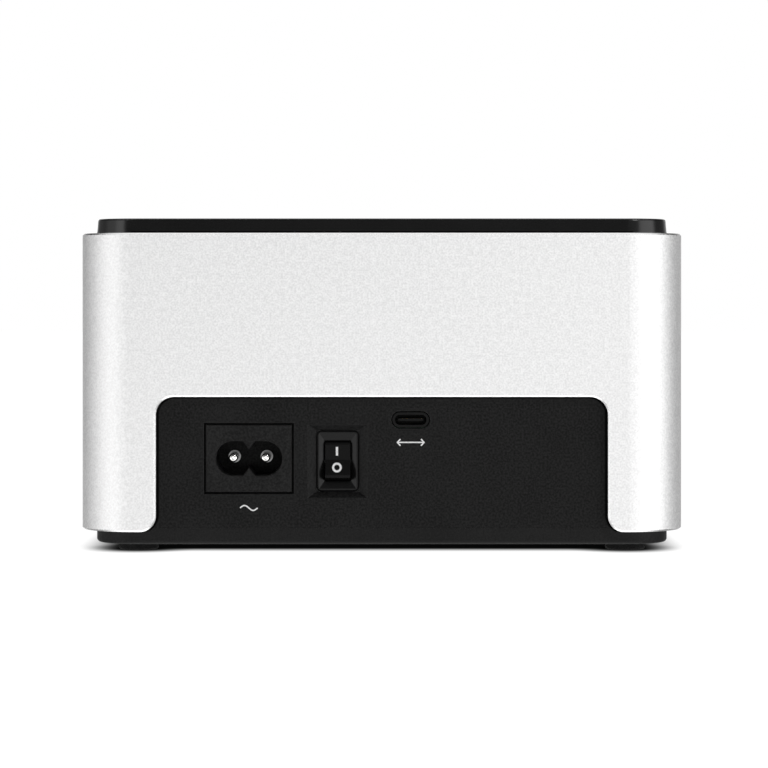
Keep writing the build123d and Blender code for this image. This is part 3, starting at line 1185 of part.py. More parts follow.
def mains_wire_points():
    """The live wire to the switch, the switched wire and the neutral wire, each as its route."""
    back = PANEL_FACE - INLET_RECESS_DEPTH - INLET_BACK_WALL - INLET_PIN_TAIL
    tail_y = SWITCH_PIVOT_Y + BODY_BACK_FROM_PIVOT - TERMINAL_TAIL
    lane_y = MAINS_PLUG_PLACE[1]
    plug_top = SUPPLY_BOARD_TOP + PLUG_HEIGHT
    far = INLET_X + INLET_PIN_SPACING / 2
    near = INLET_X - INLET_PIN_SPACING / 2
    low_terminal = SWITCH_Z - END_TERMINAL_DROP
    cross_y = back - 2 * WIRE_BEND
    live = [
        (near, back, INLET_Z), (near, cross_y, INLET_Z), (SWITCH_X, cross_y, SWITCH_Z),
        (SWITCH_X, tail_y, SWITCH_Z),
    ]
    turn_y = cross_y - 2 * WIRE_HEIGHT_STEP
    plug_x = MAINS_PLUG_PLACE[0]
    switched = [
        (SWITCH_X, tail_y, low_terminal), (SWITCH_X, turn_y, low_terminal),
        (plug_x - WIRE_BEND, turn_y, low_terminal), (plug_x - WIRE_BEND, lane_y, low_terminal),
        (plug_x - WIRE_BEND, lane_y, plug_top),
    ]
    neutral = [(far, back, INLET_Z), (far, lane_y, INLET_Z), (far, lane_y, plug_top)]
    return [live, switched, neutral]


def make_mains_wires():
    return [cord_along(points, WIRE_RADIUS, WIRE_BEND) for points in mains_wire_points()]


def make_output_leads():
    """Two leads from the supply's output up through the sheet's edge to the main board."""
    bottom = SUPPLY_BOARD_TOP + PLUG_HEIGHT
    leads = []
    for side in (-1, 1):
        y = OUTPUT_PLUG_Y + side * PLUG_WIDTH / 4
        x = OUTPUT_PLUG_X
        middle = (bottom + MAIN_BOARD_UNDERSIDE) / 2
        points = [
            (x, y, bottom), (x, y, middle), (LEAD_LANE_X, y, middle), (LEAD_LANE_X, y, MAIN_BOARD_UNDERSIDE),
        ]
        leads.append(cord_along(points, WIRE_RADIUS, WIRE_BEND))
    return leads


def save_case():
    save("outer_sleeve", make_sleeve())
    save("top_cover", make_cover())
    save("base_tray", make_base())
    save("rubber_feet", make_feet())
    save("case_screws", make_case_screws())


def save_rear_panel():
    save("rear_panel", make_panel())
    save("panel_screws", make_panel_screws())
    save("mains_inlet_body", make_inlet())
    save("mains_inlet_pins", make_inlet_pins())
    save("mains_inlet_screws", make_inlet_screws())
    save("rocker_housing", make_switch_housing())
    save("rocker_paddle", make_paddle())
    save("rocker_seesaw_contact", make_seesaw())
    save("rocker_terminals", make_switch_terminals())
    save("data_port_shell", make_port_shell())
    save("data_port_tongue", make_port_tongue())


def save_bays():
    for side, edge in BAY_EDGES.items():
        save(f"drive_well_{side}", make_well(edge))
        save(f"bay_flap_{side}", make_flap(edge))
        save(f"flap_hinge_pin_{side}", make_hinge_pin(edge))
        save(f"flap_spring_{side}", make_flap_spring(edge))
        save(f"drive_socket_{side}", make_socket(edge))
    save("socket_contacts", [blade for edge in BAY_EDGES.values() for blade in make_socket_contacts(edge)])
    save("well_screws", make_well_screws())


def save_boards():
    save("main_board", make_main_board())
    save("bridge_chips", make_chips())
    save("chip_heat_sinks", make_chip_sinks())
    save("main_board_capacitors", make_board_cans())
    save("main_board_inductors", make_board_coils())
    save("insulation_sheet", make_insulation())
    save("power_supply_board", make_supply_board())
    save("board_screws", make_board_screws())
    save("transformer_core", make_transformer_core())
    save("transformer_winding", make_transformer_winding())
    save("bulk_capacitor", make_can(*BULK_CAN_PLACE, SUPPLY_BOARD_TOP, BULK_CAN_RADIUS, BULK_CAN_HEIGHT))
    save("output_capacitors", make_output_cans())
    save("mains_filter_choke", make_choke())
    save("mains_filter_capacitor", make_filter_box())
    save("mains_fuse", make_fuse())
    save("power_supply_heat_sinks", make_supply_sinks())
    save("power_transistors", make_transistors())


def save_front():
    save("front_board", make_front_board())
    save("front_board_screws", make_front_screws())
    save("status_lights", make_status_lights())
    for side, x in BAY_CENTRES.items():
        save(f"power_button_{side}", make_button(x))
        save(f"key_plunger_{side}", make_key_plunger(x))
    save("button_rings", [make_button_ring(x) for x in BAY_CENTRES.values()])
    save("key_switches", [make_key_switch(x) for x in BAY_CENTRES.values()])
    save("light_pipes", [make_light_pipe(x) for x in BAY_CENTRES.values()])


def save_wiring():
    save("ribbon_cable", make_ribbon())
    save("cable_plugs", make_ribbon_plugs() + make_supply_plugs())
    save("mains_wires", make_mains_wires())
    save("output_leads", make_output_leads())


os.makedirs("parts", exist_ok=True)
save_case()
save_rear_panel()
save_bays()
save_boards()
save_front()
save_wiring()
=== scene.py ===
import json
import math

import bmesh
import bpy
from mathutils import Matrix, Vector
from mathutils.bvhtree import BVHTree

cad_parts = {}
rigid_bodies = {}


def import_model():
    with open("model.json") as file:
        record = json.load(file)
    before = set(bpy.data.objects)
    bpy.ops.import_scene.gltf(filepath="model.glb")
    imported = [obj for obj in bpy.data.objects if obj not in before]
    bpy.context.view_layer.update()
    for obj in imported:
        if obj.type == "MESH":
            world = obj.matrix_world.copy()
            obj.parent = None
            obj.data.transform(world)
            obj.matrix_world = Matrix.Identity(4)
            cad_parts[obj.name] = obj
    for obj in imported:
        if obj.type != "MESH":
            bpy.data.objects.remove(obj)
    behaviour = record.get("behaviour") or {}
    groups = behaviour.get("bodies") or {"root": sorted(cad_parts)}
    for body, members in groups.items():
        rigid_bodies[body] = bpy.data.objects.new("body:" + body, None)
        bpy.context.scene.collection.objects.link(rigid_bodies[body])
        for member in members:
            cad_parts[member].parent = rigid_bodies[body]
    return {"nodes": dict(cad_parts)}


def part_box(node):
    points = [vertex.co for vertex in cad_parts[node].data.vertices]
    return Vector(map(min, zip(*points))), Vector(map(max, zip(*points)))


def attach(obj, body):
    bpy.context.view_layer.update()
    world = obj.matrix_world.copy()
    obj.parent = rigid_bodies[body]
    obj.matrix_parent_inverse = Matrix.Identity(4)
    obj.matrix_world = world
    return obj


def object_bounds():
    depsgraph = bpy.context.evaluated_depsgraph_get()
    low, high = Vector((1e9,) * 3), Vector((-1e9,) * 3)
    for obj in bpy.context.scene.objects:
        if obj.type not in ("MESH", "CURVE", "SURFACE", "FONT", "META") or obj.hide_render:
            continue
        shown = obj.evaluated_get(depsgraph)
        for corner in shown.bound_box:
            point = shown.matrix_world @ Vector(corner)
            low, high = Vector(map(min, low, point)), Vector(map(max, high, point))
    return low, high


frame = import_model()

# Blender's own startup objects aren't part of the scene.
for startup in [o for o in bpy.data.objects if o.name in ("Cube", "Light", "Camera")]:
    bpy.data.objects.remove(startup)
cad_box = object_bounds()
nodes = frame["nodes"]

MM = 0.001

# Camera: level, square to the back of the case
CAMERA_PLACE = (0.0, 843.0 * MM, 65.4 * MM)
CAMERA_LENS = 138.75
CAMERA_SENSOR = 36.0
IMAGE_SIZE = 768
HORIZON_ABOVE_CENTRE_PX = 80.0
CASE_LEFT_OF_CENTRE_PX = 2.1
CAMERA_NEAR = 10.0 * MM

# Studio: how bright the soft dome is by its angle in degrees from the camera's side, towards +x,
# above the horizon and below it. The other levels go by height, from -1 straight down to 1 straight up.
DOME_ABOVE = [
    (-180, 1.15), (-152, 0.75), (-128, 0.22), (-92, 0.28), (-77, 2.50), (-43, 2.50), (-31, 0.48), (0, 0.25),
    (33, 0.22), (42, 2.60), (58, 2.15), (66, 1.25), (86, 1.00), (106, 0.36), (140, 0.25), (180, 1.15),
]
DOME_BELOW = [
    (-180, 1.45), (-152, 0.85), (-122, 0.42), (-95, 1.00), (-50, 3.10), (0, 1.98), (60, 2.50), (95, 1.20),
    (135, 0.52), (180, 1.45),
]
DOME_HORIZON = (-0.06, 0.08)
DOME_HIGH = 0.3
DOME_HIGH_HEIGHTS = (0.12, 0.45)
DOME_LOW = 0.60
DOME_LOW_HEIGHTS = (-0.48, -0.12)
DOME_OVERHEAD = 0.9
DOME_OVERHEAD_HEIGHTS = (0.62, 0.92)
DOME_STRAIGHT_DOWN = 1.4
DOME_DOWN_HEIGHTS = (-0.98, -0.75)
GLINT_PLACE = (-0.55, 1.0, 0.75)
GLINT_AIM = (0.0, 0.06, 0.03)
GLINT_SIZE = 0.25
GLINT_POWER = 3.0
FLOOR_SIZE = 12.0

# Painted contact shadow in the floor's glow: it starts inside the case's footprint and fades over a short way
# outward
SHADOW_HALF_SIZE = (62.5 * MM, 41.5 * MM)
SHADOW_FADE = (8.0 * MM, 21.0 * MM)
FOOT_SHADOW_FADE = (5.0 * MM, 17.0 * MM)

# Where some finishes, painted highlights and painted shade change along a piece
NOTCH_CHAMFER_END = (61.0 * MM, 60.5 * MM)
PANEL_EDGE_HIGHLIGHT_FROM = (11.0 * MM, 13.0 * MM)
PIN_PAINTED_SHADE_DEPTH = (8.0 * MM, 2.0 * MM)
FUSE_CAP_LENGTH = (5.2 * MM, 5.0 * MM)

# Feet, and the strip and bands of painted shadow at the notch and the sleeve's edges
FOOT_RADIUS = 5.3 * MM
NOTCH_HALF_WIDTH = 59.4 * MM
NOTCH_TOP = 41.0 * MM
NOTCH_TOP_RADIUS = 4.8 * MM
NOTCH_FOOT_RADIUS = 4.2 * MM
NOTCH_FOOT_SWEEP = (250, -70)
SHADOW_STRIP_WIDTH = 0.5 * MM
SHADOW_STRIP_UNDER = 0.3 * MM
SHADOW_STRIP_RISE = 0.3 * MM
BAND_HEIGHT = 0.5 * MM
BAND_PROUD = 0.12 * MM
BAND_SUNK = 0.1 * MM
INSERT_CORNER_RADIUS = 12.15 * MM
CORNER_STEPS = 10

# Printed marks
PRINT_RAY_START = 10.0 * MM
PRINT_THICKNESS = 0.05 * MM
PRINT_STROKE = 0.34 * MM
OFF_MARK_STROKE = 0.56 * MM
MARK_SHIFT = 0.2 * MM
ON_MARK_SIZE = (0.6 * MM, 2.3 * MM)
ON_MARK_Z = 26.45 * MM
OFF_MARK_RADIUS = 1.28 * MM
OFF_MARK_Z = 22.2 * MM
MAINS_MARK_Z = 11.6 * MM
MAINS_MARK_SIZE = (4.6 * MM, 1.3 * MM)
MAINS_MARK_STEPS = 32
DATA_MARK_Z = 28.9 * MM
DATA_MARK_LENGTH = 7.0 * MM
DATA_MARK_HEAD = 1.5 * MM
POWER_MARK_SHARE = 0.36
POWER_MARK_STROKE = 0.32 * MM
POWER_MARK_GAP = 35
POWER_MARK_STEPS = 36
POWER_MARK_BAR = (1.2, 0.15)

# Grips on the bay flaps and contacts in the data port
GRIP_COUNT = 5
GRIP_SIZE = (0.7 * MM, 13.0 * MM)
GRIP_PITCH = 1.5 * MM
GRIP_RISE = 0.14 * MM
GRIP_PLACE = (3.2 * MM, 16.0 * MM)
CONTACT_COUNT = 12
CONTACT_SIZE = (0.26 * MM, 3.4 * MM)
CONTACT_PITCH = 0.5 * MM
CONTACT_RISE = 0.02 * MM
CONTACT_SETBACK = 0.5 * MM
TONGUE_THICKNESS = 0.7 * MM


# Node trees and materials


class Nodes:
    """A node tree being built."""

    def __init__(self, tree):
        self.tree = tree

    def add(self, kind, **settings):
        node = self.tree.nodes.new(kind)
        for key, value in settings.items():
            setattr(node, key, value)
        return node

    def put(self, value, socket):
        """Links an output, or sets a plain value, on a socket."""
        if isinstance(value, bpy.types.NodeSocket):
            self.tree.links.new(value, socket)
        else:
            socket.default_value = value

    def calc(self, operation, a, b=0.0):
        node = self.add("ShaderNodeMath", operation=operation)
        self.put(a, node.inputs[0])
        self.put(b, node.inputs[1])
        return node.outputs[0]

    def span(self, value, low, high, start=0.0, end=1.0):
        """Maps low..high onto start..end, smoothly and with both ends held."""
        node = self.add("ShaderNodeMapRange", interpolation_type="SMOOTHSTEP")
        numbers = {"Value": value, "From Min": low, "From Max": high, "To Min": start, "To Max": end}
        for socket, number in numbers.items():
            self.put(number, node.inputs[socket])
        return node.outputs[0]

    def split(self, vector):
        """The x, y and z of a vector output."""
        node = self.add("ShaderNodeSeparateXYZ")
        self.put(vector, node.inputs[0])
        return node.outputs


class Shader(Nodes):
    """A material being built: one Principled shader, with textures laid out in the object's own metres."""

    def __init__(self, name, colour, roughness, metallic=0.0, specular=0.5):
        self.material = bpy.data.materials.new(name)
        self.material.use_nodes = True
        self.material.diffuse_color = (*colour, 1.0)
        super().__init__(self.material.node_tree)
        self.bsdf = self.tree.nodes["Principled BSDF"]
        self.place = self.add("ShaderNodeTexCoord").outputs["Object"]
        self.colour = colour
        self.set("Base Color", (*colour, 1.0))
        self.set("Roughness", roughness)
        self.set("Metallic", metallic)
        self.set("Specular IOR Level", specular)

    def set(self, name, value):
        self.put(value, self.bsdf.inputs[name])

    def noise(self, size, detail=3.0):
        """Cloudy grain whose lumps are about this many metres across."""
        node = self.add("ShaderNodeTexNoise")
        self.put(self.place, node.inputs["Vector"])
        node.inputs["Scale"].default_value = 1 / size
        node.inputs["Detail"].default_value = detail
        return node.outputs["Fac"]

    def cells(self, size):
        """A Voronoi texture whose cells are about this many metres across."""
        node = self.add("ShaderNodeTexVoronoi")
        self.put(self.place, node.inputs["Vector"])
        node.inputs["Scale"].default_value = 1 / size
        return node

    def axis(self, letter, source=None):
        """One coordinate of the object's own space, or of another vector output."""
        return self.split(source or self.place)[letter]

    def normal(self, letter):
        """One coordinate of the surface's direction."""
        return self.axis(letter, self.add("ShaderNodeTexCoord").outputs["Normal"])

    def reach(self, sides):
        """How far apart two points are whose distances along two axes are these."""
        squares = [self.calc("MULTIPLY", side, side) for side in sides]
        return self.calc("SQRT", self.calc("ADD", *squares))

    def edges(self, radius):
        """1 on sharp edges and 0 on flat faces, over a strip of this radius in metres."""
        bevel = self.add("ShaderNodeBevel", samples=4)
        bevel.inputs["Radius"].default_value = radius
        dot = self.add("ShaderNodeVectorMath", operation="DOT_PRODUCT")
        self.put(bevel.outputs[0], dot.inputs[0])
        self.put(self.add("ShaderNodeNewGeometry").outputs["True Normal"], dot.inputs[1])
        return self.span(dot.outputs["Value"], 0.98, 0.75)

    def blend(self, factor, a, b):
        """Colour a where the factor is 0 and b where it is 1; each is an output or three plain numbers."""
        node = self.add("ShaderNodeMix", data_type="RGBA")
        self.put(factor, node.inputs[0])
        for socket, colour in ((node.inputs[6], a), (node.inputs[7], b)):
            self.put((*colour, 1.0) if isinstance(colour, tuple) else colour, socket)
        return node.outputs[2]

    def shade(self, factor, spread, colour=None):
        """The colour, darker and lighter by spread as factor goes from 0.3 to 0.7."""
        base = colour or self.colour
        dark = tuple(c * (1 - spread) for c in base)
        light = tuple(min(1.0, c * (1 + spread)) for c in base)
        return self.blend(self.span(factor, 0.3, 0.7), dark, light)

    def relief(self, height, depth, soften=0.0):
        """Bumps of this depth in metres, over edges softened by a small radius."""
        bump = self.add("ShaderNodeBump")
        bump.inputs["Strength"].default_value = 1.0
        bump.inputs["Distance"].default_value = depth
        self.put(height, bump.inputs["Height"])
        if soften:
            bevel = self.add("ShaderNodeBevel", samples=4)
            bevel.inputs["Radius"].default_value = soften
            self.put(bevel.outputs[0], bump.inputs["Normal"])
        self.set("Normal", bump.outputs[0])


def grey(level):
    """A neutral colour."""
    return (level, level, level)


def moulded(name, colour, roughness=0.5, specular=0.3, grain=0.45, depth=0.02, spread=0.2, soften=0.15,
            edge=0.0):
    """Spark-textured moulded plastic.

    Grain, depth and soften are in millimetres, and edge is the grey of a painted highlight along sharp edges.
    """
    s = Shader(name, colour, roughness, specular=specular)
    fine = s.noise(grain * MM, 2.0)
    broad = s.noise(14 * MM, 3.0)
    mixed = s.calc("ADD", s.calc("MULTIPLY", fine, 0.65), s.calc("MULTIPLY", broad, 0.35))
    tone = s.shade(mixed, spread)
    if edge:
        # Lighter colour along sharp edges, in patches: a painted highlight.
        painted_edge_highlight = s.calc("MULTIPLY", s.edges(soften * MM), s.span(broad, 0.3, 0.6, 0.5, 1.0))
        tone = s.blend(painted_edge_highlight, tone, grey(edge))
    s.set("Base Color", tone)
    s.set("Roughness", s.span(broad, 0.3, 0.7, roughness * 0.93, roughness * 1.07))
    s.relief(fine, depth * MM, soften * MM)
    return s.material


def cast_metal(name, colour, roughness, grain=0.3, spread=0.08, soften=0.1):
    """Bare or plated metal with a faint cloudy tarnish."""
    s = Shader(name, colour, roughness, metallic=1.0)
    fine = s.noise(grain * MM, 3.0)
    cloud = s.noise(5 * MM, 4.0)
    s.set("Base Color", s.shade(cloud, spread))
    s.set("Roughness", s.span(fine, 0.3, 0.7, roughness * 0.8, roughness * 1.2))
    s.relief(fine, 0.004 * MM, soften * MM)
    return s.material


def anodised_sleeve():
    """Bead-blasted, anodised aluminium, with bright chamfers cut along the rims and round the notch."""
    s = Shader("anodised_sleeve", grey(0.88), 0.55, metallic=1.0)
    fine = s.noise(0.50 * MM, 2.0)
    mottle = s.noise(1.5 * MM, 2.0)
    mixed = s.calc("ADD", s.calc("MULTIPLY", fine, 0.75), s.calc("MULTIPLY", mottle, 0.25))
    slope = s.calc("ABSOLUTE", s.normal("Z"))
    rim = s.calc("MULTIPLY", s.span(slope, 0.35, 0.5), s.span(slope, 0.98, 0.85))
    across = s.calc("MULTIPLY", s.span(s.calc("ABSOLUTE", s.normal("X")), 0.4, 0.6),
                    s.span(s.calc("ABSOLUTE", s.axis("X")), *NOTCH_CHAMFER_END))
    cut = s.calc("MAXIMUM", rim, across)
    s.set("Base Color", s.blend(cut, s.shade(mixed, 0.10), grey(0.97)))
    s.set("Roughness", s.calc("SUBTRACT", s.span(mixed, 0.3, 0.7, 0.51, 0.59), s.calc("MULTIPLY", cut, 0.30)))
    s.relief(mixed, 0.012 * MM, 0.12 * MM)
    return s.material


def panel():
    """The rear panel: spark-textured, with painted highlights on its upper edges and on the left and right
    slopes around the switch.
    """
    s = Shader("panel_plastic", grey(0.0064), 0.52, specular=0.132)
    fine = s.noise(0.55 * MM, 2.5)
    broad = s.noise(12 * MM, 3.0)
    mixed = s.calc("ADD", s.calc("MULTIPLY", fine, 0.8), s.calc("MULTIPLY", broad, 0.2))
    flank = s.calc("ABSOLUTE", s.normal("X"))
    # Paler colour on the left and right slopes round the switch: a painted highlight.
    slope = s.calc("MULTIPLY", s.span(flank, 0.3, 0.5), s.span(flank, 0.98, 0.9))
    tone = s.blend(slope, s.shade(mixed, 0.95), s.shade(fine, 0.4, grey(0.012)))
    # Lighter colour along sharp edges above the panel's foot: a painted highlight.
    painted_edge_highlight = s.calc("MULTIPLY", s.edges(0.25 * MM), s.span(s.axis("Z"), *PANEL_EDGE_HIGHLIGHT_FROM))
    s.set("Base Color", s.blend(painted_edge_highlight, tone, grey(0.030)))
    s.set("Roughness", s.span(broad, 0.3, 0.7, 0.47, 0.57))
    s.relief(fine, 0.07 * MM, 0.15 * MM)
    return s.material


def nickel():
    """Plated pins, with painted shade that darkens them towards the recess floor, where they are also
    rougher.
    """
    s = Shader("contact_nickel", (0.86, 0.85, 0.83), 0.16, metallic=1.0)
    cloud = s.noise(2 * MM, 4.0)
    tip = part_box("mains_inlet_pins")[1].y
    # Painted shade: the pins go dark grey towards the recess floor.
    painted_shade_fade = s.span(s.axis("Y"), *(tip - depth for depth in PIN_PAINTED_SHADE_DEPTH))
    s.set("Base Color", s.blend(painted_shade_fade, grey(0.32), s.shade(cloud, 0.08)))
    s.set("Roughness", s.span(painted_shade_fade, 0.0, 1.0, 0.32, 0.14))
    s.relief(s.noise(0.4 * MM, 3.0), 0.004 * MM, 0.1 * MM)
    return s.material


def rubber():
    """Matt rubber, dusty in patches."""
    s = Shader("foot_rubber", grey(0.018), 0.85, specular=0.2)
    fine = s.noise(0.25 * MM, 3.0)
    s.set("Base Color", s.shade(s.noise(3 * MM, 4.0), 0.35))
    s.relief(fine, 0.05 * MM, 0.2 * MM)
    return s.material


def circuit_board():
    """Green solder mask over copper tracks, dotted with small tinned pads."""
    s = Shader("board_laminate", (0.012, 0.085, 0.035), 0.38, specular=0.5)
    cell = s.cells(5.2 * MM)
    patch = s.axis("X", cell.outputs["Color"])
    tracks = []
    for letter in ("X", "Y"):
        wave = s.calc("PINGPONG", s.axis(letter), 0.55 * MM)
        tracks.append(s.span(wave, 0.36 * MM, 0.42 * MM))
    flip = s.span(patch, 0.49, 0.51)
    chosen = s.calc("ADD", s.calc("MULTIPLY", tracks[0], flip),
                    s.calc("MULTIPLY", tracks[1], s.calc("SUBTRACT", 1.0, flip)))
    lit = s.calc("MULTIPLY", chosen, s.span(s.noise(9 * MM, 1.0), 0.42, 0.5))
    mask = s.blend(lit, s.shade(s.noise(12 * MM), 0.2), (0.03, 0.17, 0.07))
    via = s.span(s.cells(3.1 * MM).outputs["Distance"], 0.09, 0.07)
    s.set("Base Color", s.blend(via, mask, (0.55, 0.52, 0.42)))
    s.set("Metallic", via)
    s.relief(s.calc("ADD", lit, via), 0.03 * MM, 0.1 * MM)
    return s.material


def chip_body():
    """Fine-grained black epoxy."""
    s = Shader("chip_epoxy", grey(0.022), 0.62, specular=0.35)
    fine = s.noise(0.12 * MM, 4.0)
    s.set("Base Color", s.shade(fine, 0.45))
    s.relief(fine, 0.01 * MM, 0.12 * MM)
    return s.material


def can_sleeve():
    """An electrolytic can: bare aluminium on top, and a plastic sleeve with a pale stripe."""
    s = Shader("capacitor_aluminium", (0.02, 0.025, 0.05), 0.35)
    top = s.span(s.normal("Z"), 0.72, 0.85)
    stripe = s.span(s.normal("X"), 0.90, 0.92)
    sleeve = s.blend(stripe, s.shade(s.noise(2 * MM), 0.25), (0.62, 0.63, 0.66))
    s.set("Base Color", s.blend(top, sleeve, (0.78, 0.78, 0.77)))
    s.set("Metallic", top)
    s.set("Roughness", s.span(s.noise(1.5 * MM, 3.0), 0.3, 0.7, 0.28, 0.42))
    s.relief(s.noise(0.8 * MM, 2.0), 0.01 * MM)
    return s.material


def ferrite():
    """Pressed and fired magnetic powder."""
    s = Shader("ferrite", (0.035, 0.034, 0.034), 0.55, specular=0.5)
    s.set("Base Color", s.shade(s.noise(0.5 * MM, 5.0), 0.5))
    s.relief(s.noise(0.35 * MM, 4.0), 0.03 * MM, 0.15 * MM)
    return s.material


def winding_tape():
    """Yellow polyester tape, wound in overlapping laps."""
    s = Shader("winding_tape", (0.72, 0.50, 0.05), 0.3, specular=0.6)
    lap = s.calc("PINGPONG", s.axis("X"), 2.4 * MM)
    edge = s.span(lap, 0.0, 0.35 * MM)
    s.set("Base Color", s.blend(edge, (0.5, 0.33, 0.03), s.shade(s.noise(6 * MM), 0.12)))
    s.relief(edge, 0.06 * MM, 0.1 * MM)
    return s.material


def fuse():
    """A glass tube between two nickel caps, lying along x."""
    s = Shader("fuse_glass", (0.9, 0.93, 0.92), 0.06)
    lo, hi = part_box("mains_fuse")
    half = (hi.x - lo.x) / 2
    from_middle = s.calc("ABSOLUTE", s.calc("SUBTRACT", s.axis("X"), lo.x + half))
    cap = s.span(from_middle, *(half - length for length in FUSE_CAP_LENGTH))
    s.set("Base Color", s.blend(cap, (0.9, 0.93, 0.92), (0.66, 0.63, 0.57)))
    s.set("Metallic", cap)
    s.set("Transmission Weight", s.calc("SUBTRACT", 1.0, cap))
    s.relief(s.noise(0.8 * MM), 0.01 * MM)
    return s.material


def frosted_lens():
    """Milky, faintly clear plastic."""
    s = Shader("lens_plastic", (0.90, 0.93, 0.95), 0.32)
    s.set("Transmission Weight", 0.25)
    s.set("Roughness", s.span(s.noise(0.4 * MM, 3.0), 0.3, 0.7, 0.25, 0.4))
    s.set("Base Color", s.shade(s.noise(2 * MM), 0.05))
    return s.material


def ribbon():
    """A flat cable whose conductors show as ridges side by side, with painted shade in the grooves between
    them.
    """
    s = Shader("cable_plastic", grey(0.42), 0.45)
    pitch = s.calc("PINGPONG", s.axis("X"), 0.5 * MM)
    ridge = s.span(pitch, 0.0, 0.4 * MM)
    # Darker grey in the grooves between ridges: painted shade.
    s.set("Base Color", s.blend(ridge, grey(0.2), s.shade(s.noise(4 * MM), 0.1)))
    s.relief(ridge, 0.2 * MM)
    return s.material


def film():
    """Yellowish insulating film with a faint crinkle."""
    s = Shader("insulation_film", (0.62, 0.58, 0.42), 0.35)
    s.set("Base Color", s.shade(s.noise(8 * MM, 3.0), 0.12))
    s.relief(s.noise(5 * MM, 4.0), 0.15 * MM)
    return s.material


def finishes():
    """One material for each of the record's slots."""
    return {
        "sleeve_aluminium": anodised_sleeve(),
        # edge sets the grey of a painted highlight along sharp edges.
        "cover_plastic": moulded("cover_plastic", grey(0.002), 0.20, 0.5, depth=0.005, grain=0.5, edge=0.01),
        "tray_plastic": moulded("tray_plastic", grey(0.0075), 0.5, 0.14, spread=0.5),
        "foot_rubber": rubber(),
        "screw_steel": cast_metal("screw_steel", grey(0.28), 0.34),
        "panel_plastic": panel(),
        "inlet_plastic": moulded("inlet_plastic", grey(0.0078), 0.55, 0.15, grain=0.5, depth=0.06,
                                 spread=0.9, soften=0.2, edge=0.018),
        "contact_nickel": nickel(),
        "switch_plastic": moulded("switch_plastic", grey(0.0034), 0.28, 0.22, grain=0.3, depth=0.006,
                                  edge=0.022),
        "paddle_plastic": moulded("paddle_plastic", grey(0.0016), 0.4, 0.12, grain=0.3, depth=0.008,
                                  edge=0.006),
        "contact_brass": cast_metal("contact_brass", (0.78, 0.56, 0.26), 0.3),
        "port_steel": cast_metal("port_steel", grey(0.014), 0.32),
        "port_plastic": moulded("port_plastic", grey(0.002), 0.5, 0.15),
        "well_plastic": moulded("well_plastic", grey(0.008), 0.55, 0.3),
        "flap_plastic": moulded("flap_plastic", grey(0.0065), 0.42, 0.4, depth=0.014),
        "spring_steel": cast_metal("spring_steel", grey(0.55), 0.22),
        "socket_plastic": moulded("socket_plastic", grey(0.01), 0.45, 0.4, grain=0.3),
        "board_laminate": circuit_board(),
        "chip_epoxy": chip_body(),
        "heat_sink_aluminium": cast_metal("heat_sink_aluminium", grey(0.62), 0.4, spread=0.12),
        "capacitor_aluminium": can_sleeve(),
        "ferrite": ferrite(),
        "insulation_film": film(),
        "winding_tape": winding_tape(),
        "filter_plastic": moulded("filter_plastic", (0.62, 0.40, 0.04), 0.4, 0.5, spread=0.1),
        "fuse_glass": fuse(),
        "lens_plastic": frosted_lens(),
        "button_plastic": moulded("button_plastic", grey(0.008), 0.36, 0.4, grain=0.3, depth=0.008),
        "key_plastic": moulded("key_plastic", grey(0.012), 0.5, 0.4),
        "ring_aluminium": cast_metal("ring_aluminium", grey(0.82), 0.2),
        "cable_plastic": ribbon(),
        "plug_plastic": moulded("plug_plastic", (0.72, 0.69, 0.6), 0.45, 0.5, spread=0.06),
        "wire_plastic": moulded("wire_plastic", (0.10, 0.035, 0.015), 0.4, 0.5, spread=0.1),
    }


def dress_nodes(finish):
    """Gives every slot of the CAD nodes its material."""
    for node in nodes.values():
        for slot in node.material_slots:
            slot.material = finish[slot.material.name]


def white_print():
    """Pad-printed white ink."""
    s = Shader("white_print", grey(0.72), 0.5, specular=0.3)
    s.set("Base Color", s.shade(s.noise(0.3 * MM, 3.0), 0.1))
    return s.material


# New pieces


def mesh_piece(name, mesh, material, body):
    """A new piece of this mesh, riding on a body and taking its finish from a slot."""
    piece = bpy.data.objects.new(name, mesh)
    bpy.context.scene.collection.objects.link(piece)
    mesh.materials.append(material)
    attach(piece, body)


def surface_of(node):
    """A node's surface, for casting rays on it."""
    mesh = nodes[node].data
    return BVHTree.FromPolygons([v.co for v in mesh.vertices], [p.vertices for p in mesh.polygons])


def slab(bm, outline, hole, front, back):
    """A closed slab between an outline and an optional hole of as many points.

    Front and back are functions that give a point's place on either face.
    """
    rings = []
    for loop in (outline, hole or []):
        for place in (front, back):
            rings.append([bm.verts.new(place(u, v)) for u, v in loop])
    count = len(outline)
    if hole:
        pairs = ((rings[0], rings[1]), (rings[1], rings[3]), (rings[3], rings[2]), (rings[2], rings[0]))
    else:
        bm.faces.new(rings[0])
        bm.faces.new(list(reversed(rings[1])))
        pairs = ((rings[0], rings[1]),)
    for near, far in pairs:
        for i in range(count):
            j = (i + 1) % count
            bm.faces.new((near[i], near[j], far[j], far[i]))


def slab_piece(name, shapes, front, back, body, material):
    """One piece made of slabs, given as pairs of an outline and a hole or None."""
    bm = bmesh.new()
    for outline, hole in shapes:
        slab(bm, outline, hole, front, back)
    bmesh.ops.recalc_face_normals(bm, faces=bm.faces)
    mesh = bpy.data.meshes.new(name)
    bm.to_mesh(mesh)
    bm.free()
    mesh_piece(name, mesh, material, body)


def printed(name, shapes, node, facing, body, material):
    """Ink on the face of a node: shapes in (x, z), dropped on it along y."""
    tree = surface_of(node)
    start = facing * (cad_box[1].y + PRINT_RAY_START)

    def on_face(lift):
        def place(x, z):
            hit = tree.ray_cast(Vector((x, start, z)), Vector((0, -facing, 0)))[0]
            return (x, hit.y + facing * lift, z)
        return place

    slab_piece(name, shapes, on_face(PRINT_THICKNESS), on_face(0.0), body, material)


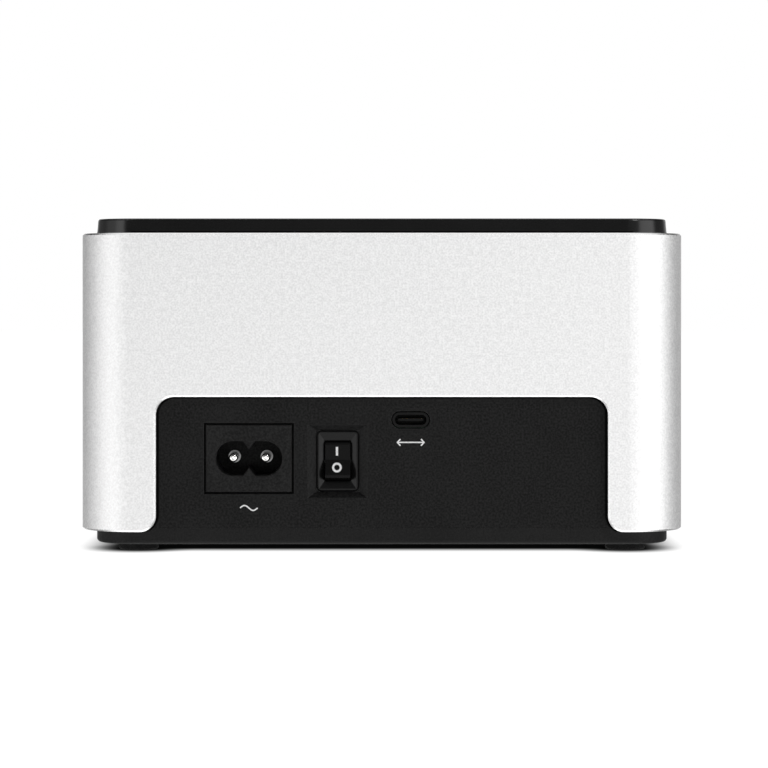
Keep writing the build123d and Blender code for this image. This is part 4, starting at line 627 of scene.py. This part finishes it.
def rails(points, left, right):
    """The two sides of a line of (x, z) points, left and right of it by these widths."""
    sides = ([], [])
    for i, (x, z) in enumerate(points):
        before = points[max(i - 1, 0)]
        after = points[min(i + 1, len(points) - 1)]
        dx = after[0] - before[0]
        dz = after[1] - before[1]
        length = math.hypot(dx, dz)
        for side, reach in zip(sides, (left, -right)):
            side.append((x - dz / length * reach, z + dx / length * reach))
    return sides


def stroke(points, width):
    """The outline of a line of even width."""
    left, right = rails(points, width / 2, width / 2)
    return left + right[::-1]


def arc(x, z, radius, start, turn, steps=12):
    """Points along an arc, from an angle in degrees and over a turn."""
    angles = [math.radians(start + turn * i / steps) for i in range(steps + 1)]
    return [(x + radius * math.cos(a), z + radius * math.sin(a)) for a in angles]


def circle(x, z, radius, steps=40):
    """Points round a whole circle."""
    return arc(x, z, radius, 0, 360, steps)[:-1]


def double_arrow(x, z, half, head, width):
    """One outline: a bar from -half to half, with an open arrow head at each end."""
    w = width / 2
    d = w * math.sqrt(2)
    right = [
        (half - width, w), (half - head - w, head), (half - head - d + width, head + d), (half + d, 0),
        (half - head - d + width, -head - d), (half - head - w, -head), (half - width, -w),
    ]
    left = [(-px, -pz) for px, pz in right]
    return [(x + px, z + pz) for px, pz in right + left]


def centre_x(node):
    """The middle of a node's box along x."""
    lo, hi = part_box(node)
    return (lo.x + hi.x) / 2


def rear_marks(ink):
    """The two marks of the rocker, and a plain symbol under the inlet and under the data port."""
    x = centre_x("rocker_paddle") + MARK_SHIFT
    width, height = ON_MARK_SIZE
    bar = stroke([(x, ON_MARK_Z + height / 2), (x, ON_MARK_Z - height / 2)], width)
    ring = (circle(x, OFF_MARK_Z, OFF_MARK_RADIUS), circle(x, OFF_MARK_Z, OFF_MARK_RADIUS - OFF_MARK_STROKE))
    for name, shape in (("rocker_on_mark", (bar, None)), ("rocker_off_mark", ring)):
        printed(name, [shape], "rocker_paddle", 1, "rocker", ink)

    width, height = MAINS_MARK_SIZE
    x = centre_x("mains_inlet_body")
    parts = [i / MAINS_MARK_STEPS for i in range(MAINS_MARK_STEPS + 1)]
    wave = [(x + (t - 0.5) * width, MAINS_MARK_Z - height / 2 * math.sin(t * 2 * math.pi)) for t in parts]
    arrow = double_arrow(centre_x("data_port_shell"), DATA_MARK_Z, DATA_MARK_LENGTH / 2, DATA_MARK_HEAD / 2,
                         PRINT_STROKE)
    for name, outline in (("mains_mark", stroke(wave, PRINT_STROKE)), ("data_mark", arrow)):
        printed(name, [(outline, None)], "rear_panel", 1, "housing", ink)


def notch_seal(material):
    """A thin black strip of painted shadow between the panel and the sleeve, along the edge of the notch."""
    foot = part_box("outer_sleeve")[0].z
    half = NOTCH_HALF_WIDTH
    line = arc(half + NOTCH_FOOT_RADIUS, foot + NOTCH_FOOT_RADIUS, NOTCH_FOOT_RADIUS, *NOTCH_FOOT_SWEEP)
    line += arc(half - NOTCH_TOP_RADIUS, NOTCH_TOP - NOTCH_TOP_RADIUS, NOTCH_TOP_RADIUS, 0, 90)
    line += [(-x, z) for x, z in reversed(line)]
    left, right = rails(line, SHADOW_STRIP_WIDTH, SHADOW_STRIP_UNDER)
    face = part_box("rear_panel")[1].y
    slab_piece("notch_seal", [(left + right[::-1], None)], lambda x, z: (x, face + SHADOW_STRIP_RISE, z),
               lambda x, z: (x, face, z), "housing", material)


def power_marks(ink):
    """The stand-by symbol on both front buttons: a ring open at the top, with a bar in the opening."""
    for side in ("left", "right"):
        node = f"power_button_{side}"
        lo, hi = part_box(node)
        x = centre_x(node)
        z = (lo.z + hi.z) / 2
        radius = POWER_MARK_SHARE * (hi.x - lo.x) / 2
        ring = arc(x, z, radius, 90 + POWER_MARK_GAP, 360 - 2 * POWER_MARK_GAP, POWER_MARK_STEPS)
        bar = [(x, z + share * radius) for share in POWER_MARK_BAR]
        shapes = [(stroke(line, POWER_MARK_STROKE), None) for line in (ring, bar)]
        printed(f"power_mark_{side}", shapes, node, -1, f"button_{side}", ink)


def capsule(x, y, width, length):
    """A bar with round ends, lying along the second axis."""
    half = (length - width) / 2
    return arc(x, y + half, width / 2, 0, 180) + arc(x, y - half, width / 2, 180, 180)


def flap_grips(material):
    """Low ribs on the wide end of each bay flap, where a drive or a finger pushes it down."""
    for side in ("left", "right"):
        lo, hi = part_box(f"bay_flap_{side}")
        y = hi.y - GRIP_PLACE[1]
        first = lo.x + GRIP_PLACE[0]
        ribs = [(capsule(first + i * GRIP_PITCH, y, *GRIP_SIZE), None) for i in range(GRIP_COUNT)]
        top = hi.z
        slab_piece(f"flap_grip_{side}", ribs, lambda x, y: (x, y, top + GRIP_RISE), lambda x, y: (x, y, top),
                   f"flap_{side}", material)


def port_contacts(material):
    """Bare metal contacts on both faces of the data port's tongue."""
    lo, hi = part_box("data_port_tongue")
    z = (lo.z + hi.z) / 2
    y = hi.y - CONTACT_SETBACK - CONTACT_SIZE[1] / 2
    first = centre_x("data_port_tongue") - (CONTACT_COUNT - 1) / 2 * CONTACT_PITCH
    pads = [(capsule(first + i * CONTACT_PITCH, y, *CONTACT_SIZE), None) for i in range(CONTACT_COUNT)]
    for name, way in (("port_contacts_upper", 1), ("port_contacts_lower", -1)):
        face = z + way * TONGUE_THICKNESS / 2
        slab_piece(name, pads, lambda x, y: (x, y, face + way * CONTACT_RISE), lambda x, y: (x, y, face),
                   "housing", material)


def rounded_outline(half_x, half_y, radius):
    """A rectangle with round corners, from its +x, +y corner on."""
    points = []
    for quarter, (sx, sy) in enumerate(((1, 1), (-1, 1), (-1, -1), (1, -1))):
        points += arc(sx * (half_x - radius), sy * (half_y - radius), radius, 90 * quarter, 90, CORNER_STEPS)
    return points


def shadow_band(name, bottom, material, gap=0.0):
    """A thin black band of painted shadow round the cover or the tray where it meets the sleeve.

    A gap leaves it open at the back, up to this far to either side of the middle.
    """
    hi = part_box("base_tray")[1]
    rings = []
    for d in (BAND_PROUD, -BAND_SUNK):
        ring = rounded_outline(hi.x + d, hi.y + d, INSERT_CORNER_RADIUS + d)
        if gap:
            corner = CORNER_STEPS + 1
            ring = [(-gap, hi.y + d)] + ring[corner:] + ring[:corner] + [(gap, hi.y + d)]
        rings.append(ring)
    shape = (rings[0] + rings[1][::-1], None) if gap else rings
    slab_piece(name, [shape], lambda x, y: (x, y, bottom + BAND_HEIGHT), lambda x, y: (x, y, bottom),
               "housing", material)


# Studio


def dome():
    """A soft white tent: plain white where the camera sees it, and shaped from dim to bright as light."""
    world = bpy.data.worlds.new("studio")
    bpy.context.scene.world = world
    world.use_nodes = True
    world.node_tree.nodes.clear()
    n = Nodes(world.node_tree)

    def by_angle(turn, stops):
        """A level that goes by the angle round the case."""
        node = n.add("ShaderNodeValToRGB")
        ramp = node.color_ramp
        ramp.interpolation = "EASE"
        while len(ramp.elements) < len(stops):
            ramp.elements.new(0.5)
        for element, (angle, value) in zip(ramp.elements, stops):
            element.position = angle / 360 + 0.5
            element.color = (value, value, value, 1)
        n.put(turn, node.inputs[0])
        return node.outputs[0]

    x, y, z = n.split(n.add("ShaderNodeTexCoord").outputs["Generated"])
    turn = n.calc("ADD", n.calc("MULTIPLY", n.calc("ARCTAN2", x, y), 0.5 / math.pi), 0.5)
    over = n.calc("MULTIPLY", by_angle(turn, DOME_ABOVE), n.span(z, *DOME_HORIZON, 0.0, 1.0))
    over = n.calc("MULTIPLY", over, n.span(z, *DOME_HIGH_HEIGHTS, 1.0, DOME_HIGH))
    under = n.calc("MULTIPLY", by_angle(turn, DOME_BELOW), n.span(z, *DOME_HORIZON, 1.0, 0.0))
    under = n.calc("MULTIPLY", under, n.span(z, *DOME_LOW_HEIGHTS, DOME_LOW, 1.0))
    level = n.calc("ADD", over, under)
    level = n.calc("ADD", level, n.span(z, *DOME_OVERHEAD_HEIGHTS, 0.0, DOME_OVERHEAD))
    level = n.calc("ADD", level, n.span(z, *DOME_DOWN_HEIGHTS, DOME_STRAIGHT_DOWN, 0.0))

    light = n.add("ShaderNodeBackground")
    n.put(level, light.inputs["Strength"])
    seen = n.add("ShaderNodeBackground")
    seen.inputs["Color"].default_value = (1, 1, 1, 1)
    mix = n.add("ShaderNodeMixShader")
    n.put(n.add("ShaderNodeLightPath").outputs["Is Camera Ray"], mix.inputs[0])
    n.put(light.outputs[0], mix.inputs[1])
    n.put(seen.outputs[0], mix.inputs[2])
    n.put(mix.outputs[0], n.add("ShaderNodeOutputWorld").inputs["Surface"])


def floor():
    """A wide sheet that glows white, apart from a painted contact shadow under the case and its feet."""
    mesh = bpy.data.meshes.new("floor")
    half = FLOOR_SIZE / 2
    corners = [(-half, -half, 0), (half, -half, 0), (half, half, 0), (-half, half, 0)]
    mesh.from_pydata(corners, [], [(0, 1, 2, 3)])
    sheet = bpy.data.objects.new("floor", mesh)
    bpy.context.scene.collection.objects.link(sheet)
    s = Shader("floor_paper", grey(0.10), 0.9, specular=0.0)
    s.set("Base Color", s.shade(s.noise(0.3, 2.0), 0.01))
    feet_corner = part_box("rubber_feet")[1]
    outside = []
    from_foot = []
    for letter, shadow_edge, foot_edge in zip("XY", SHADOW_HALF_SIZE, feet_corner):
        from_middle = s.calc("ABSOLUTE", s.axis(letter))
        outside.append(s.calc("MAXIMUM", s.calc("SUBTRACT", from_middle, shadow_edge), 0.0))
        from_foot.append(s.calc("SUBTRACT", from_middle, foot_edge - FOOT_RADIUS))
    # The glow fades out under the case and round the feet: a painted contact shadow.
    case_glow = s.span(s.reach(outside), *SHADOW_FADE)
    foot_glow = s.span(s.reach(from_foot), *FOOT_SHADOW_FADE)
    s.set("Emission Color", (1, 1, 1, 1))
    s.set("Emission Strength", s.calc("MULTIPLY", case_glow, foot_glow))
    mesh.materials.append(s.material)
    sheet.visible_glossy = False


def glint():
    """A weak square light above and beside the camera, aimed at the rear panel for small glints."""
    light = bpy.data.lights.new("glint", "AREA")
    light.shape = "SQUARE"
    light.size = GLINT_SIZE
    light.energy = GLINT_POWER
    lamp = bpy.data.objects.new("glint", light)
    bpy.context.scene.collection.objects.link(lamp)
    lamp.location = GLINT_PLACE
    lamp.rotation_mode = "QUATERNION"
    lamp.rotation_quaternion = (Vector(GLINT_AIM) - Vector(GLINT_PLACE)).to_track_quat("-Z", "Y")


def camera():
    """A long lens, level and square to the back, shifted to put the case where the photograph has it."""
    data = bpy.data.cameras.new("camera")
    data.lens = CAMERA_LENS
    data.sensor_width = CAMERA_SENSOR
    data.shift_x = CASE_LEFT_OF_CENTRE_PX / IMAGE_SIZE
    data.shift_y = -HORIZON_ABOVE_CENTRE_PX / IMAGE_SIZE
    data.clip_start = CAMERA_NEAR
    holder = bpy.data.objects.new("camera", data)
    bpy.context.scene.collection.objects.link(holder)
    holder.location = CAMERA_PLACE
    holder.rotation_euler = (math.radians(90), 0, math.radians(180))
    bpy.context.scene.camera = holder


bpy.context.scene.view_settings.view_transform = "Standard"
camera()
dome()
floor()
glint()
finish = finishes()
dress_nodes(finish)
ink = white_print()
rear_marks(ink)
power_marks(ink)
flap_grips(finish["flap_plastic"])
port_contacts(finish["contact_brass"])
# Near-black plastic for the strip and bands of painted shadow.
painted_shadow_black = moulded("painted_shadow_plastic", grey(0.0006), 0.6, 0.03, grain=0.3)
notch_seal(painted_shadow_black)
# Bands of painted shadow where the sleeve meets the tray and the cover.
shadow_band("base_band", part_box("outer_sleeve")[0].z - BAND_HEIGHT, painted_shadow_black,
            NOTCH_HALF_WIDTH + NOTCH_FOOT_RADIUS)
shadow_band("cover_band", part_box("outer_sleeve")[1].z, painted_shadow_black)
